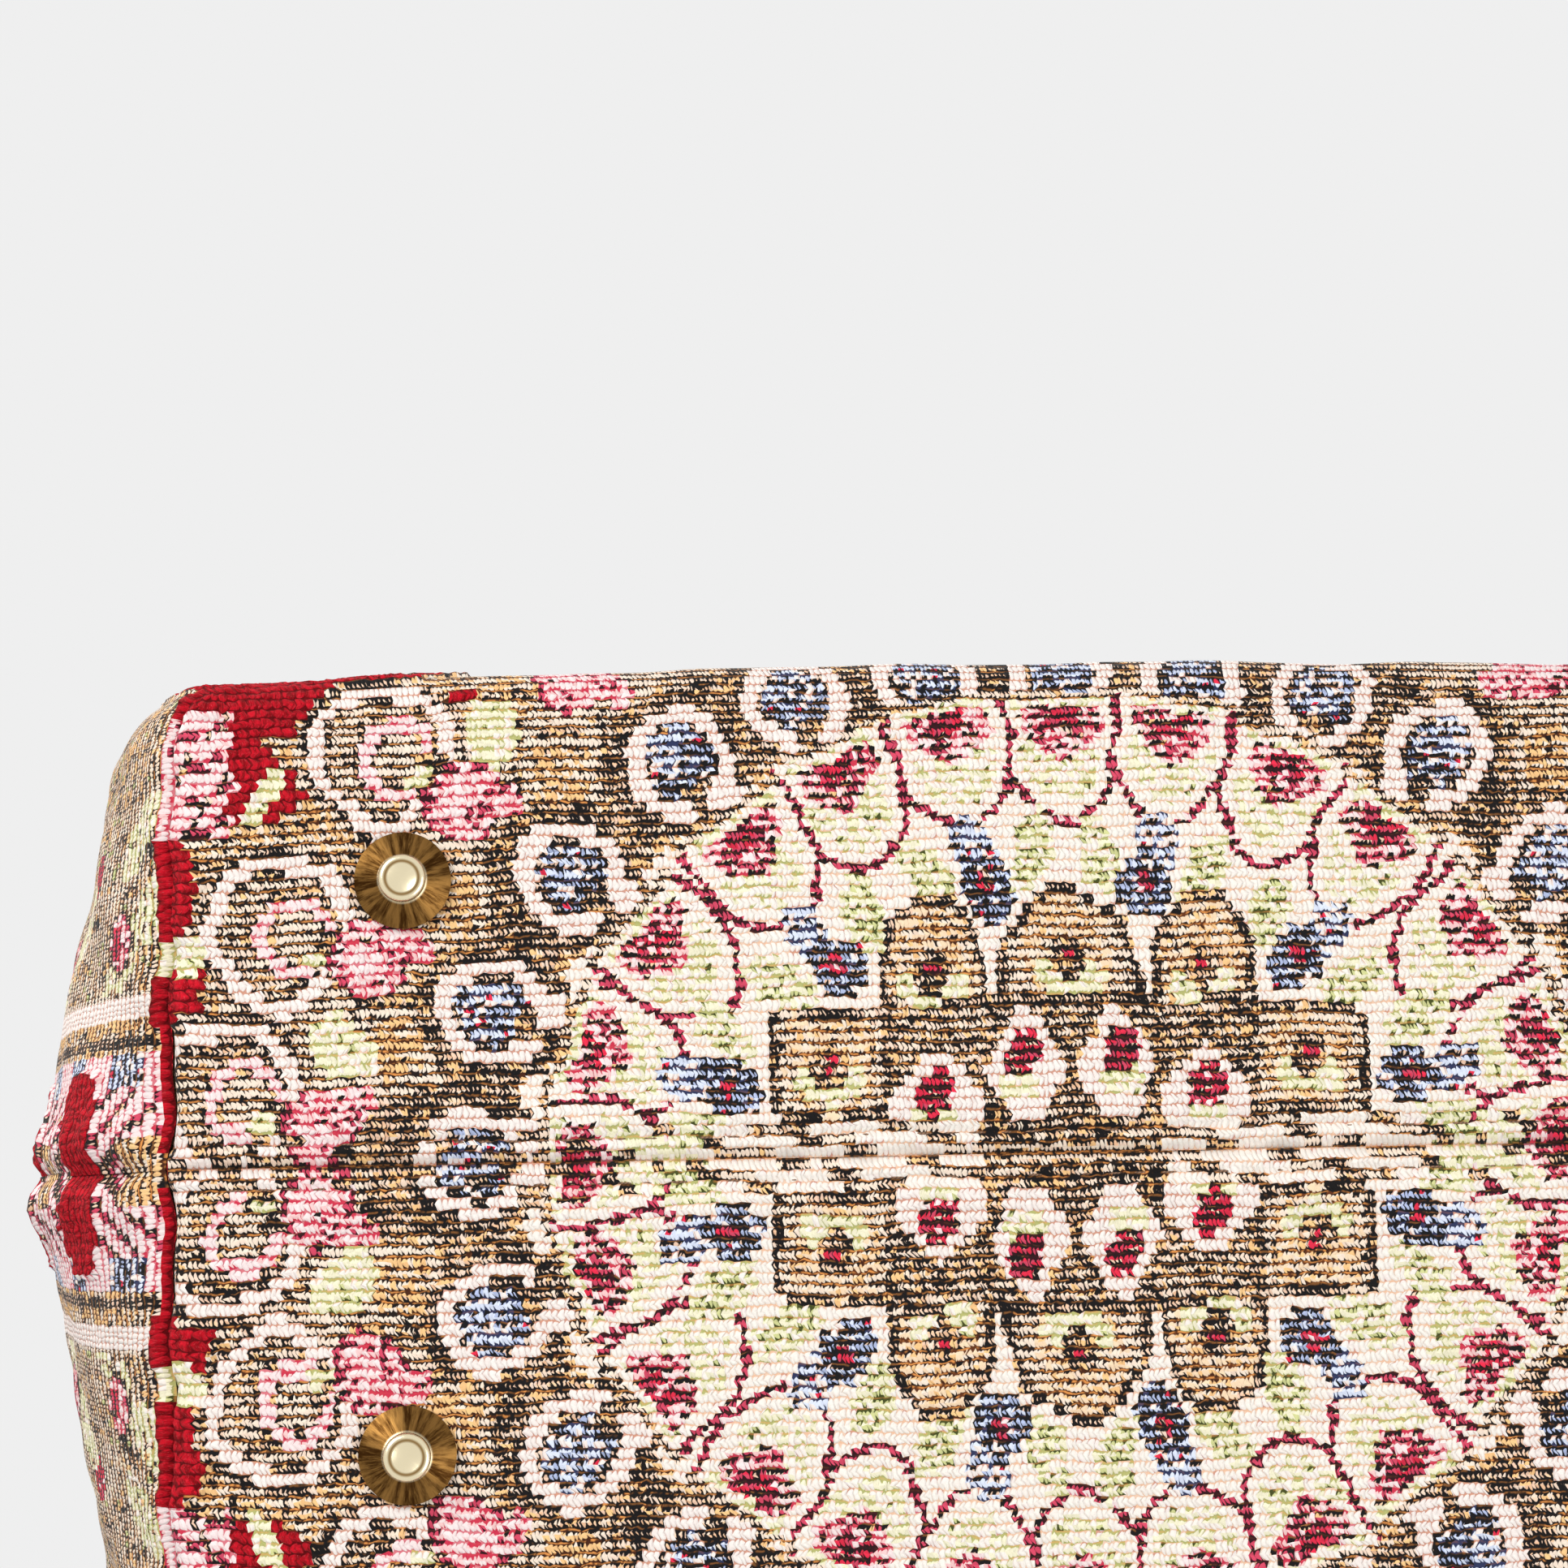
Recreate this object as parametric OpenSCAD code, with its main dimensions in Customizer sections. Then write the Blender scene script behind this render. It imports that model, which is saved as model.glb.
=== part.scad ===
// Carpet bag that stands on four brass feet.
// Two carpet panels are sewn together along the bottom and up the middle of each end, with boxed
// corners. Cloth throats join them to a hinged mouth frame, and two leather handles carry the bag.
// X runs along the bag, Y from front to back and Z up. The feet stand on the plane Z = 0.

/* [Carpet body] */
// Length of the base
base_len = 300; // [270:1:340]
// Depth of the base
base_depth = 160; // [140:1:180]
// Height of the carpet panels above the base
body_h = 178; // [160:1:210]
// Depth of the bag at the top edge of the panels
top_depth = 104; // [96:1:120]
// Thickness of the carpet
cloth_t = 2.5; // [1.8:0.1:3]
// Radius of the corners of the base
corner_r = 10; // [7:0.5:14]
// Radius of the corners at the top edge of the panels
top_corner_r = 26; // [18:1:32]
// Radius of the fold between the base and the walls
edge_r = 5; // [4:0.5:7]
// How far the front and back faces bulge at half height
face_bulge = 8; // [4:0.5:12]
// How far the end walls bulge at half height
end_bulge = 15; // [8:0.5:18]
// How far the end walls lean out at the top edge
end_flare = 5; // [2:0.5:8]
// How far the side seam stands out from the end wall at half height
seam_peak = 12; // [6:1:18]
// How far the side seam stands out at the top edge
top_peak = 3; // [1:0.5:5]
// How far the front and back edges bow out between the corners
edge_bow = 3; // [0:0.5:6]
// Depth of the sewn groove along the seams
seam_groove = 1.3; // [0.5:0.1:1.5]

/* [Base board and feet] */
// Thickness of the base board
board_t = 2.5; // [1.5:0.5:4]
// Height of a foot under the base
foot_h = 6; // [4.5:0.5:10]
// Diameter of a foot's flange
flange_d = 16; // [14:0.5:20]
// Diameter of a foot's boss
boss_d = 7.8; // [6.5:0.1:9]
// Distance of a foot's axis from the end of the base
foot_inset_x = 39; // [32:1:55]
// Distance of a foot's axis from the long edge of the base
foot_inset_y = 33; // [28:1:45]
// Diameter of a foot's shank
shank_d = 4; // [3:0.2:5]
// Diameter of the washer on a shank
washer_d = 12; // [9:0.5:14]

/* [Lining] */
// Thickness of the lining
lining_t = 1; // [0.6:0.1:1.4]
// Distance of the lining's top hem below the top edge of the panels
lining_drop = 20; // [18:1:32]

/* [Mouth frame] */
// Height of the hinge axis below the top edge of the panels
hinge_drop = 10; // [9:0.5:12]
// Height of the bar's lower face above the top edge of the panels
throat_h = 48; // [42:1:60]
// Width of a jaw's bar
bar_w = 7.2; // [6.4:0.2:9]
// Height of a jaw's bar
bar_h = 10; // [9:0.5:12]
// Width of the slot that grips the throat's edge
slot_w = 3.6; // [3.2:0.1:4]
// Depth of that slot
slot_depth = 6.5; // [5:0.5:6.5]
// Thickness of the throat cloth
yoke_t = 2; // [1.2:0.1:2.2]
// Thickness of a hinge arm
arm_t = 2; // [1.5:0.1:2.5]
// Radius of a hinge eye
eye_r = 5.5; // [5:0.5:7]
// Diameter of the hinge rivet
rivet_d = 4; // [3:0.2:5]
// Diameter of a clasp ball
ball_d = 9.2; // [7:0.2:10]

/* [Handles] */
// Distance between the legs of a handle
handle_span = 116; // [90:1:130]
// Diameter of the rolled leather
handle_d = 11; // [9:0.5:13]
// Height of the straight legs above the top edge of the panels
leg_h = 46; // [40:1:70]
// Length of a handle's flat end
end_len = 44; // [36:1:50]
// Width of a handle's flat end
end_w = 20; // [16:0.5:26]
// Thickness of the flat leather
leather_t = 2.5; // [1.8:0.1:3]
// Diameter of a handle rivet's head
head_d = 9; // [7:0.5:10]

/* [Hidden] */
$fn = 64;

// Clearances
seam_gap = 0.2;
seat_gap = 0.05;
soft_gap = 0.3;
run_gap = 0.05;
jaw_gap = 0.4;
lining_gap = 2.8;

// Distances between the feet
foot_span_x = base_len - 2 * foot_inset_x;
foot_span_y = base_depth - 2 * foot_inset_y;

// Counts of the cloth's mesh
end_cols = 6;
corner_cols = 3;
front_cols = 6;
edge_rows = 3;
yoke_rows = 7;
wall_heights = [1, 0.945, 0.88, 0.79, 0.68, 0.56, 0.43, 0.3, 0.18, 0.08];
base_shrinks = [0.96, 0.8, 0.55, 0.28, 0.03];

// Levels of the layers that lie on each other over the base
base_z = foot_h;
top_z = foot_h + body_h;
board_z = base_z + cloth_t + seam_gap;
washer_t = 0.8;
washer_z = board_z + board_t;
peen_z = washer_z + washer_t;
peen_t = 1;
lining_z = peen_z + peen_t + soft_gap;
lining_h = body_h - lining_drop;

// Places of the mouth frame
hinge_z = top_z - hinge_drop;
bar_z = top_z + throat_h;
bar_y = -(bar_w + jaw_gap) / 2;
grip = slot_depth - 1.5;
arm_gap = 0.3;
slot_half = base_len / 2 - 4;
arm_in_x = slot_half + 1;
arm_out_x = arm_in_x + arm_t + arm_gap;
bar_half = arm_out_x + arm_t + 0.7;
throat_half = bar_half + 2.5;
hinge_x = seam_x(height_at(hinge_z));
rivet_seat_x = hinge_x + soft_gap + leather_t;
rivet_head_r = rivet_d / 2 + 3;

// Places of the handle's flat ends
leg_x = handle_span / 2;
end_top_z = top_z - 16;
end_low_z = end_top_z - end_len;
end_rise = end_top_z - end_low_z;
end_lean = face_y(leg_x, end_low_z) - face_y(leg_x, end_top_z);
end_tilt = atan(end_lean / end_rise);
end_mid_z = (end_top_z + end_low_z) / 2;
end_mid_y = (face_y(leg_x, end_top_z) + face_y(leg_x, end_low_z)) / 2;
end_crown = (face_y(leg_x, end_mid_z) - end_mid_y) * cos(end_tilt) + soft_gap;
leg_y = face_y(leg_x, end_top_z) + end_crown + leather_t;
arch_z = top_z + leg_h;
burr_t = 1;
shank_r = 1.8;

// Form of the carpet body. Each function takes h, the height as a share of body_h.
function height_at(z) = (z - base_z) / body_h;
function swell(h, power) = sin(180 * pow(max(h, 0), power));
function half_x(h) = base_len / 2 + end_flare * h + end_bulge * swell(h, 0.8);
function half_y(h) = base_depth / 2 + (top_depth - base_depth) / 2 * pow(max(h, 0), 1.6) + face_bulge * swell(h, 1);
function round_r(h) = corner_r + (top_corner_r - corner_r) * h;
function peak(h) = seam_peak * swell(h, 0.7) + top_peak * h;
function seam_x(h) = half_x(h) + peak(h);
function peak_share(s) = 1 - s;
function end_x(y, h) = half_x(h) + peak(h) * peak_share(abs(y) / (half_y(h) - round_r(h)));
function bow_share(s) = 1 - s * s;
function face_y(x, z) =
    let (h = height_at(z))
    half_y(h) + edge_bow * bow_share(x / (half_x(h) - round_r(h)));

// Outline from the side seam round the corner to the middle of the front, with the seam's groove
function quarter(h, inset) =
    let (
        a = half_x(h) - inset,
        b = half_y(h) - inset,
        r = max(round_r(h) - inset, 1),
        straight = b - r
    )
    concat(
        [for (i = [0 : end_cols - 1])
            let (s = pow(i / end_cols, 1.8))
            [a + peak(h) * peak_share(s) - (i == 0 ? seam_groove * swell(h, 0.5) : 0), -straight * s]],
        [for (i = [0 : corner_cols])
            let (t = 90 * i / corner_cols)
            [a - r + r * cos(t), -straight - r * sin(t)]],
        [for (i = [1 : front_cols])
            let (s = i / front_cols)
            [(a - r) * (1 - s), -b - edge_bow * bow_share(1 - s)]]
    );

// The outline of one panel, from the right side seam round the front to the left one
function half_loop(q) = concat(q, [for (i = [len(q) - 2 : -1 : 0]) [-q[i].x, q[i].y]]);
function full_loop(half) = concat(half, [for (i = [1 : len(half) - 2]) -half[i]]);
function panel_row(h, inset, z) =
    [for (p = half_loop(quarter(h, inset))) [p.x, min(p.y, -seam_gap / 2), z]];

// Rows of one face of a panel, from its top edge down the wall, round the fold and over the base
function panel_rows(inset) =
    let (
        r = edge_r - inset,
        floor_z = base_z + inset,
        groove = inset > 0 ? 0 : seam_groove,
        rim = half_loop(quarter(0, inset + r))
    )
    concat(
        [for (h = wall_heights) panel_row(h, inset, base_z + h * body_h)],
        [for (i = [0 : edge_rows])
            let (t = 90 * i / edge_rows)
            panel_row(r * (1 - sin(t)) / body_h, inset + r * (1 - cos(t)), floor_z + r * (1 - sin(t)))],
        [for (q = base_shrinks)
            [for (p = rim)
                let (y = min(p.y * q, -seam_gap / 2))
                [p.x * q, y, floor_z + groove * exp(-pow(y / 4, 2))]]]
    );

// Closed solid between two matching grids of points, listed from the top row down.
// wrap joins the first and last columns, and cap closes the last row with a face.
module shell(outer, inner, wrap = false, cap = false) {
    rows = len(outer);
    cols = len(outer[0]);
    spans = wrap ? cols : cols - 1;
    last = rows - 1;
    function out(j, i) = j * cols + i % cols;
    function inn(j, i) = (rows + j) * cols + i % cols;
    function quad(a, b, c, d) = [[a, b, c], [a, c, d]];
    polyhedron(
        [for (row = outer) each row, for (row = inner) each row],
        [
            for (j = [0 : last - 1], i = [0 : spans - 1])
                each quad(out(j, i + 1), out(j, i), out(j + 1, i), out(j + 1, i + 1)),
            for (j = [0 : last - 1], i = [0 : spans - 1])
                each quad(inn(j + 1, i + 1), inn(j + 1, i), inn(j, i), inn(j, i + 1)),
            for (i = [0 : spans - 1])
                each quad(out(0, i + 1), inn(0, i + 1), inn(0, i), out(0, i)),
            if (cap) [for (i = [cols - 1 : -1 : 0]) out(last, i)],
            if (cap) [for (i = [0 : cols - 1]) inn(last, i)],
            if (!cap) for (i = [0 : spans - 1])
                each quad(out(last, i), inn(last, i), inn(last, i + 1), out(last, i + 1)),
            if (!wrap) for (j = [0 : last - 1])
                each quad(out(j + 1, 0), out(j, 0), inn(j, 0), inn(j + 1, 0)),
            if (!wrap) for (j = [0 : last - 1])
                each quad(out(j, cols - 1), out(j + 1, cols - 1), inn(j + 1, cols - 1), inn(j, cols - 1)),
            if (cap && !wrap)
                each quad(out(last, cols - 1), out(last, 0), inn(last, 0), inn(last, cols - 1))
        ]
    );
}

// Places its children once at each foot, or at each end of the handles
module at_feet() {
    for (x = [-1, 1], y = [-1, 1])
        translate([x * foot_span_x / 2, y * foot_span_y / 2, 0]) children();
}

module at_handle_end(x) {
    translate([x * leg_x, -end_mid_y, end_mid_z]) rotate([-end_tilt, 0, 0]) children();
}

module at_handle_ends() {
    for (turn = [0, 180], x = [-1, 1])
        rotate([0, 0, turn]) at_handle_end(x) children();
}

module along_x(x, len, r) {
    translate([x, 0, 0]) rotate([0, 90, 0]) cylinder(r = r, h = len);
}

// Carpet panel: one face of the bag with half of the base and half of each end
module carpet_panel() {
    $fn = 24;
    color("tan")
    difference() {
        shell(panel_rows(0), panel_rows(cloth_t), cap = true);
        at_feet() cylinder(d = shank_d + 2 * run_gap, h = lining_z);
        for (x = [-1, 1]) {
            translate([x * hinge_x, 0, hinge_z])
                along_x(-2 * edge_r, 4 * edge_r, rivet_d / 2 + run_gap);
            at_handle_end(x) rotate([90, 0, 0])
                cylinder(r = shank_r + run_gap, h = 8 * cloth_t, center = true);
        }
    }
}

module front_panel() { carpet_panel(); }
module back_panel() { rotate([0, 0, 180]) carpet_panel(); }

// Throat: the cloth that runs from the panel's top edge into the slot of the jaw.
// Its ends pass in front of the hinge arms and close the gable outside them. The last row stands upright.
function throat_quarter(inset) =
    let (
        y = bar_y - yoke_t / 2 + inset,
        arm_y = bar_y - bar_w / 2 - soft_gap - yoke_t + inset,
        x = throat_half - inset,
        mouth_x = slot_half - 2,
        low = bar_z - soft_gap
    )
    concat(
        [for (i = [0 : end_cols - 1]) [x, arm_y * pow(i / end_cols, 1.8), low]],
        [for (i = [0 : corner_cols]) [x + (mouth_x - x) * i / corner_cols, arm_y, low]],
        [[mouth_x - 4, y, low]],
        [for (i = [2 : front_cols])
            [(mouth_x - 10) * (1 - (i - 2) / (front_cols - 2)), y, bar_z + grip]]
    );

function throat_half_loop(q) = concat(q, [for (i = [len(q) - 2 : -1 : 0]) [-q[i].x, q[i].y, q[i].z]]);

function throat_rows(inset) =
    let (
        foot = half_loop(quarter(1, inset)),
        head = throat_half_loop(throat_quarter(inset)),
        low = top_z + seam_gap,
        upright = (yoke_rows - 1) / yoke_rows
    )
    [for (k = [yoke_rows : -1 : 0])
        let (s = k / yoke_rows, out = pow(max(1 - s / upright, 0), 1.7))
        [for (i = [0 : len(foot) - 1])
            [
                head[i].x + (foot[i].x - head[i].x) * (1 - s),
                min(head[i].y + (foot[i].y - head[i].y) * out, -seam_gap / 2),
                low + (head[i].z - low) * s
            ]]];

module yoke() {
    color("saddlebrown") shell(throat_rows(0), throat_rows(yoke_t));
}

module front_yoke() { yoke(); }
module back_yoke() { rotate([0, 0, 180]) yoke(); }

// Lining: a loose cloth bag whose top hem is sewn to the panels
function lining_row(h, inset, z) =
    [for (p = full_loop(half_loop(quarter(h, inset)))) [p.x, p.y, z]];

function lining_rows(inset) =
    let (
        hem_h = lining_h / body_h,
        loose = cloth_t + lining_gap + inset,
        floor_z = lining_z + inset,
        floor_h = height_at(floor_z),
        rim = full_loop(half_loop(quarter(floor_h, loose + edge_r)))
    )
    concat(
        [lining_row(hem_h, cloth_t + seam_gap + inset, base_z + lining_h)],
        [for (s = [0.93, 0.75, 0.55, 0.35, 0.2]) lining_row(s * hem_h, loose, base_z + s * lining_h)],
        [lining_row(floor_h, loose, floor_z + edge_r), lining_row(floor_h, loose + edge_r, floor_z)],
        [[for (p = rim) [p.x * 0.5, p.y * 0.5, floor_z]]]
    );

module lining() {
    color("burlywood") shell(lining_rows(0), lining_rows(lining_t), wrap = true, cap = true);
}

// Base board, with rounded corners and a hole for each shank
module base_board() {
    margin = edge_r + soft_gap;
    len = base_len - 2 * margin;
    depth = base_depth - 2 * margin;
    r = corner_r;
    color("dimgray")
    translate([0, 0, board_z])
    difference() {
        linear_extrude(board_t) {
            square([len - 2 * r, depth], center = true);
            square([len, depth - 2 * r], center = true);
            for (x = [-1, 1], y = [-1, 1])
                translate([x * (len / 2 - r), y * (depth / 2 - r)]) circle(r);
        }
        translate([0, 0, -board_t])
            at_feet() cylinder(d = shank_d + 2 * run_gap, h = 3 * board_t);
    }
}

// Foot: stamped cone flange with a round boss, dished underneath, riveted through the base
module foot_profile() {
    boss_r = boss_d / 2;
    rim_r = 0.8;
    dish_r = boss_r - 1.5;
    dish = 0.3;
    dish_ball = (dish_r * dish_r + dish * dish) / (2 * dish);
    cone_z = 0.48 * foot_h;
    rim_z = foot_h - 0.7;
    seat_z = foot_h - seat_gap;
    difference() {
        union() {
            square([boss_r - rim_r, foot_h / 2]);
            translate([0, rim_r]) square([boss_r, foot_h / 2 - rim_r]);
            translate([boss_r - rim_r, rim_r]) circle(rim_r);
        }
        translate([0, dish - dish_ball]) circle(dish_ball);
        translate([-2 * boss_r, -foot_h]) square([2 * boss_r, 3 * foot_h]);
    }
    polygon([[0, cone_z], [boss_r, cone_z], [flange_d / 2, rim_z], [flange_d / 2, seat_z], [0, seat_z]]);
    translate([0, cone_z]) square([shank_d / 2, peen_z - cone_z]);
    translate([0, peen_z]) square([shank_d / 2 + 1, peen_t]);
}

module foot(x, y) {
    color("darkgoldenrod")
    translate([x * foot_span_x / 2, y * foot_span_y / 2, 0])
        rotate_extrude() foot_profile();
}

module foot_front_left() { foot(-1, -1); }
module foot_front_right() { foot(1, -1); }
module foot_back_left() { foot(-1, 1); }
module foot_back_right() { foot(1, 1); }

module foot_washers() {
    color("silver")
    at_feet() translate([0, 0, washer_z]) difference() {
        cylinder(d = washer_d, h = washer_t);
        translate([0, 0, -washer_t]) cylinder(d = shank_d + 2 * run_gap, h = 3 * washer_t);
    }
}

// Jaw: a slotted bar with an arm at each end. One arm is outside and one inside, so that the
// two jaws are the same piece turned about.
module bar_profile() {
    r = bar_w / 2;
    translate([bar_y - r, bar_z]) square([bar_w, bar_h - r]);
    translate([bar_y, bar_z + bar_h - r]) circle(r);
}

module arm_profile() {
    r = bar_w / 2;
    translate([0, hinge_z]) circle(eye_r);
    polygon([
        [-eye_r, hinge_z], [eye_r, hinge_z], [bar_y + r, bar_z + 1], [bar_y - r, bar_z + 1]
    ]);
}

module across(x, len) {
    translate([x, 0, 0]) rotate([90, 0, 90]) linear_extrude(len) children();
}

module clasp_axis() {
    lean = 4.8;
    rise = 10;
    translate([-(ball_d + 1.2) / 2, bar_y, bar_z + bar_h - 2])
        rotate([-atan(lean / rise), 0, 0]) children();
}

module jaw() {
    color("darkgoldenrod")
    difference() {
        union() {
            across(-bar_half, 2 * bar_half) bar_profile();
            across(-arm_out_x - arm_t, arm_t) arm_profile();
            across(arm_in_x, arm_t) arm_profile();
        }
        across(-slot_half, 2 * slot_half)
            translate([bar_y - slot_w / 2, bar_z - 1]) square([slot_w, slot_depth + 1]);
        translate([-2 * bar_half, 0, hinge_z]) along_x(0, 4 * bar_half, rivet_d / 2 + run_gap);
        clasp_axis() cylinder(r = 1.6 + run_gap, h = 2 * bar_h);
    }
}

module front_jaw() { jaw(); }
module back_jaw() { rotate([0, 0, 180]) jaw(); }

// Clasp ball on a post that leans over the other jaw
module clasp_ball() {
    color("gold")
    clasp_axis() {
        cylinder(r = 1.6, h = 12);
        translate([0, 0, 12]) sphere(d = ball_d);
    }
}

module front_clasp_ball() { clasp_ball(); }
module back_clasp_ball() { rotate([0, 0, 180]) clasp_ball(); }

// Hinge rivet: a shouldered pin that carries both jaws and is headed over the end tab
module hinge_rivet() {
    r = rivet_d / 2;
    head_t = 1.6;
    pin_x = arm_in_x - arm_gap;
    shoulder_x = arm_out_x + arm_t + arm_gap;
    wall_x = hinge_x - cloth_t - 2;
    head_x = rivet_seat_x + seat_gap;
    color("goldenrod")
    translate([0, 0, hinge_z]) {
        along_x(pin_x - head_t, head_t, r + 2);
        along_x(pin_x - head_t, head_x - pin_x + head_t + 1, r);
        along_x(shoulder_x, wall_x - shoulder_x, r + 1.6);
        translate([head_x, 0, 0]) rotate([0, 90, 0]) rotate_extrude() rivet_dome(rivet_head_r, 2);
    }
}

// Half section of a low dome with a flat seat
module rivet_dome(r, rise) {
    ball = (r * r + rise * rise) / (2 * rise);
    intersection() {
        translate([0, rise - ball]) circle(ball);
        square([r, rise]);
    }
}

module right_hinge_rivet() { hinge_rivet(); }
module left_hinge_rivet() { rotate([0, 0, 180]) hinge_rivet(); }

// End tab: a leather patch over the side seam, rounded at its lower end and pressed flat under the
// rivet's head
function tab_rows(lift) =
    let (tall = 40, half = 14, top = top_z - 2)
    [for (j = [0 : 9])
        let (
            s = j / 9,
            z = top - tall * s,
            wide = half * sqrt(1 - pow(max(s - 0.6, 0) / 0.42, 2))
        )
        [for (i = [-4 : 4])
            let (y = wide * i / 4)
            [end_x(y, height_at(z)) + lift, y, z]]];

module end_tab() {
    color("saddlebrown")
    difference() {
        shell(
            [for (row = tab_rows(soft_gap + leather_t)) [for (i = [8 : -1 : 0]) row[i]]],
            [for (row = tab_rows(soft_gap)) [for (i = [8 : -1 : 0]) row[i]]]
        );
        translate([hinge_x, 0, hinge_z]) along_x(-edge_r, 4 * edge_r, rivet_d / 2 + run_gap);
        translate([rivet_seat_x, 0, hinge_z]) along_x(0, 2 * edge_r, rivet_head_r + soft_gap);
    }
}

module right_end_tab() { end_tab(); }
module left_end_tab() { rotate([0, 0, 180]) end_tab(); }

// Handle: rolled leather with flat ends sewn and riveted to the panel
module flat_end() {
    r = end_w / 2;
    translate([0, -end_crown, 0]) rotate([90, 0, 0]) linear_extrude(leather_t) {
        translate([-r, r - end_len / 2]) square([end_w, end_len - r]);
        translate([0, r - end_len / 2]) circle(r);
    }
}

module leg_root(x) {
    hull() {
        at_handle_end(x)
            translate([0.2 - end_w / 2, 0.1 - end_crown - leather_t, end_len / 2 - 4])
                cube([end_w - 0.4, leather_t - 0.2, 4]);
        translate([x * leg_x, -leg_y, top_z + 2]) cylinder(d = handle_d - 0.2, h = 3, $fn = 32);
    }
}

module handle() {
    color("saddlebrown")
    difference() {
        union() {
            for (x = [-1, 1]) {
                at_handle_end(x) flat_end();
                leg_root(x);
                translate([x * leg_x, -leg_y, top_z + 2]) cylinder(d = handle_d, h = leg_h - 2);
            }
            translate([0, -leg_y, arch_z]) rotate([90, 0, 0]) rotate_extrude(angle = 180)
                translate([leg_x, 0]) circle(d = handle_d);
        }
        for (x = [-1, 1])
            at_handle_end(x) rotate([90, 0, 0])
                cylinder(r = shank_r + run_gap, h = 6 * leather_t, center = true);
    }
}

module front_handle() { handle(); }
module back_handle() { rotate([0, 0, 180]) handle(); }

// Handle rivet: domed head outside the leather, shank through the panel into the burr
module handle_rivets() {
    seat = end_crown + leather_t + seat_gap;
    reach = cloth_t + 0.6 + burr_t;
    color("gold")
    at_handle_ends() rotate([90, 0, 0]) {
        translate([0, 0, -reach]) cylinder(r = shank_r, h = reach + seat + 0.5);
        translate([0, 0, seat]) rotate_extrude() rivet_dome(head_d / 2, 1.8);
    }
}

module handle_burrs() {
    color("silver")
    at_handle_ends() rotate([90, 0, 0]) translate([0, 0, -cloth_t - 0.5 - burr_t]) difference() {
        cylinder(d = head_d, h = burr_t);
        translate([0, 0, -burr_t]) cylinder(r = shank_r + run_gap, h = 3 * burr_t);
    }
}

front_panel();
back_panel();
front_yoke();
back_yoke();
lining();
base_board();
foot_front_left();
foot_front_right();
foot_back_left();
foot_back_right();
foot_washers();
front_jaw();
back_jaw();
left_hinge_rivet();
right_hinge_rivet();
left_end_tab();
right_end_tab();
front_clasp_ball();
back_clasp_ball();
front_handle();
back_handle();
handle_rivets();
handle_burrs();
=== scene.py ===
import math

import bpy
import numpy as np
from mathutils import Matrix, Vector


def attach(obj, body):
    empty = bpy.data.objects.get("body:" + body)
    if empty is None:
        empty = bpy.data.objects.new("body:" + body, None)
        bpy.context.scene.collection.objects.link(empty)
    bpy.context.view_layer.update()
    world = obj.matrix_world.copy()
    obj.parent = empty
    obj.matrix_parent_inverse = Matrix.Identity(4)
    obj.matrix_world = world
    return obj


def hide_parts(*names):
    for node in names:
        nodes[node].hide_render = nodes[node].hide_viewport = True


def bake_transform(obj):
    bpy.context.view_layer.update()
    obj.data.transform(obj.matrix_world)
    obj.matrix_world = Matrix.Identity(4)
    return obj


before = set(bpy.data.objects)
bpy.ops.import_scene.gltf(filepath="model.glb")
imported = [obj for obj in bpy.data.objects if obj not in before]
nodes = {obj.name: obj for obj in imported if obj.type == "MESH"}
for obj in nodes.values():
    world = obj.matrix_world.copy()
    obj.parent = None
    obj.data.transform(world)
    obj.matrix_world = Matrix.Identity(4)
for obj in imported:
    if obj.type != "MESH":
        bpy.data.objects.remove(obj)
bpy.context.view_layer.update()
scene = bpy.context.scene
scene.view_settings.view_transform = "Standard"
print("frame loaded,", len(nodes), "nodes")

mm = 0.001


def linear(rgb):  # written sRGB 0-255 to the linear values Blender keeps
    c = np.asarray(rgb, float) / 255
    return np.where(c <= 0.04045, c / 12.92, ((c + 0.055) / 1.055) ** 2.4)


def rgba(rgb):
    return tuple(float(c) for c in linear(rgb)) + (1.0,)


# shader helpers


def feed(tree, value, socket):  # a socket is linked, a value is written
    if isinstance(value, bpy.types.NodeSocket):
        tree.links.new(value, socket)
    else:
        socket.default_value = value


def feedAll(tree, node, values):
    for label, value in values.items():
        feed(tree, value, node.inputs[label])


def newNode(tree, kind, values=None):
    node = tree.nodes.new("ShaderNode" + kind)
    feedAll(tree, node, values or {})
    return node


def newMaterial(name):
    material = bpy.data.materials.new(name)
    material.use_nodes = True
    tree = material.node_tree
    tree.nodes.clear()
    bsdf = newNode(tree, "BsdfPrincipled")
    newNode(tree, "OutputMaterial", {"Surface": bsdf.outputs[0]})
    return material, tree, bsdf


def mathNode(tree, operation, *values, clamp=False):
    node = newNode(tree, "Math")
    node.operation = operation
    node.use_clamp = clamp
    feedAll(tree, node, dict(enumerate(values)))
    return node.outputs[0]


def times(tree, a, b, plus=None):
    if plus is None:
        return mathNode(tree, "MULTIPLY", a, b)
    return mathNode(tree, "MULTIPLY_ADD", a, b, plus)


def mixColour(tree, factor, a, b, mode="MIX"):
    node = newNode(tree, "Mix")
    node.data_type = "RGBA"
    node.blend_type = mode
    feedAll(tree, node, {"Factor": factor, "A": a, "B": b})
    return node.outputs["Result"]


def mixShader(tree, factor, a, b):
    return newNode(tree, "MixShader", {"Fac": factor, 1: a.outputs[0], 2: b.outputs[0]})


def ramp(tree, value, low, high, outLow=0.0, outHigh=1.0):
    node = newNode(tree, "MapRange")
    node.interpolation_type = "SMOOTHSTEP"
    ends = {"From Min": low, "From Max": high, "To Min": outLow, "To Max": outHigh}
    feedAll(tree, node, {"Value": value, **ends})
    return node.outputs["Result"]


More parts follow.
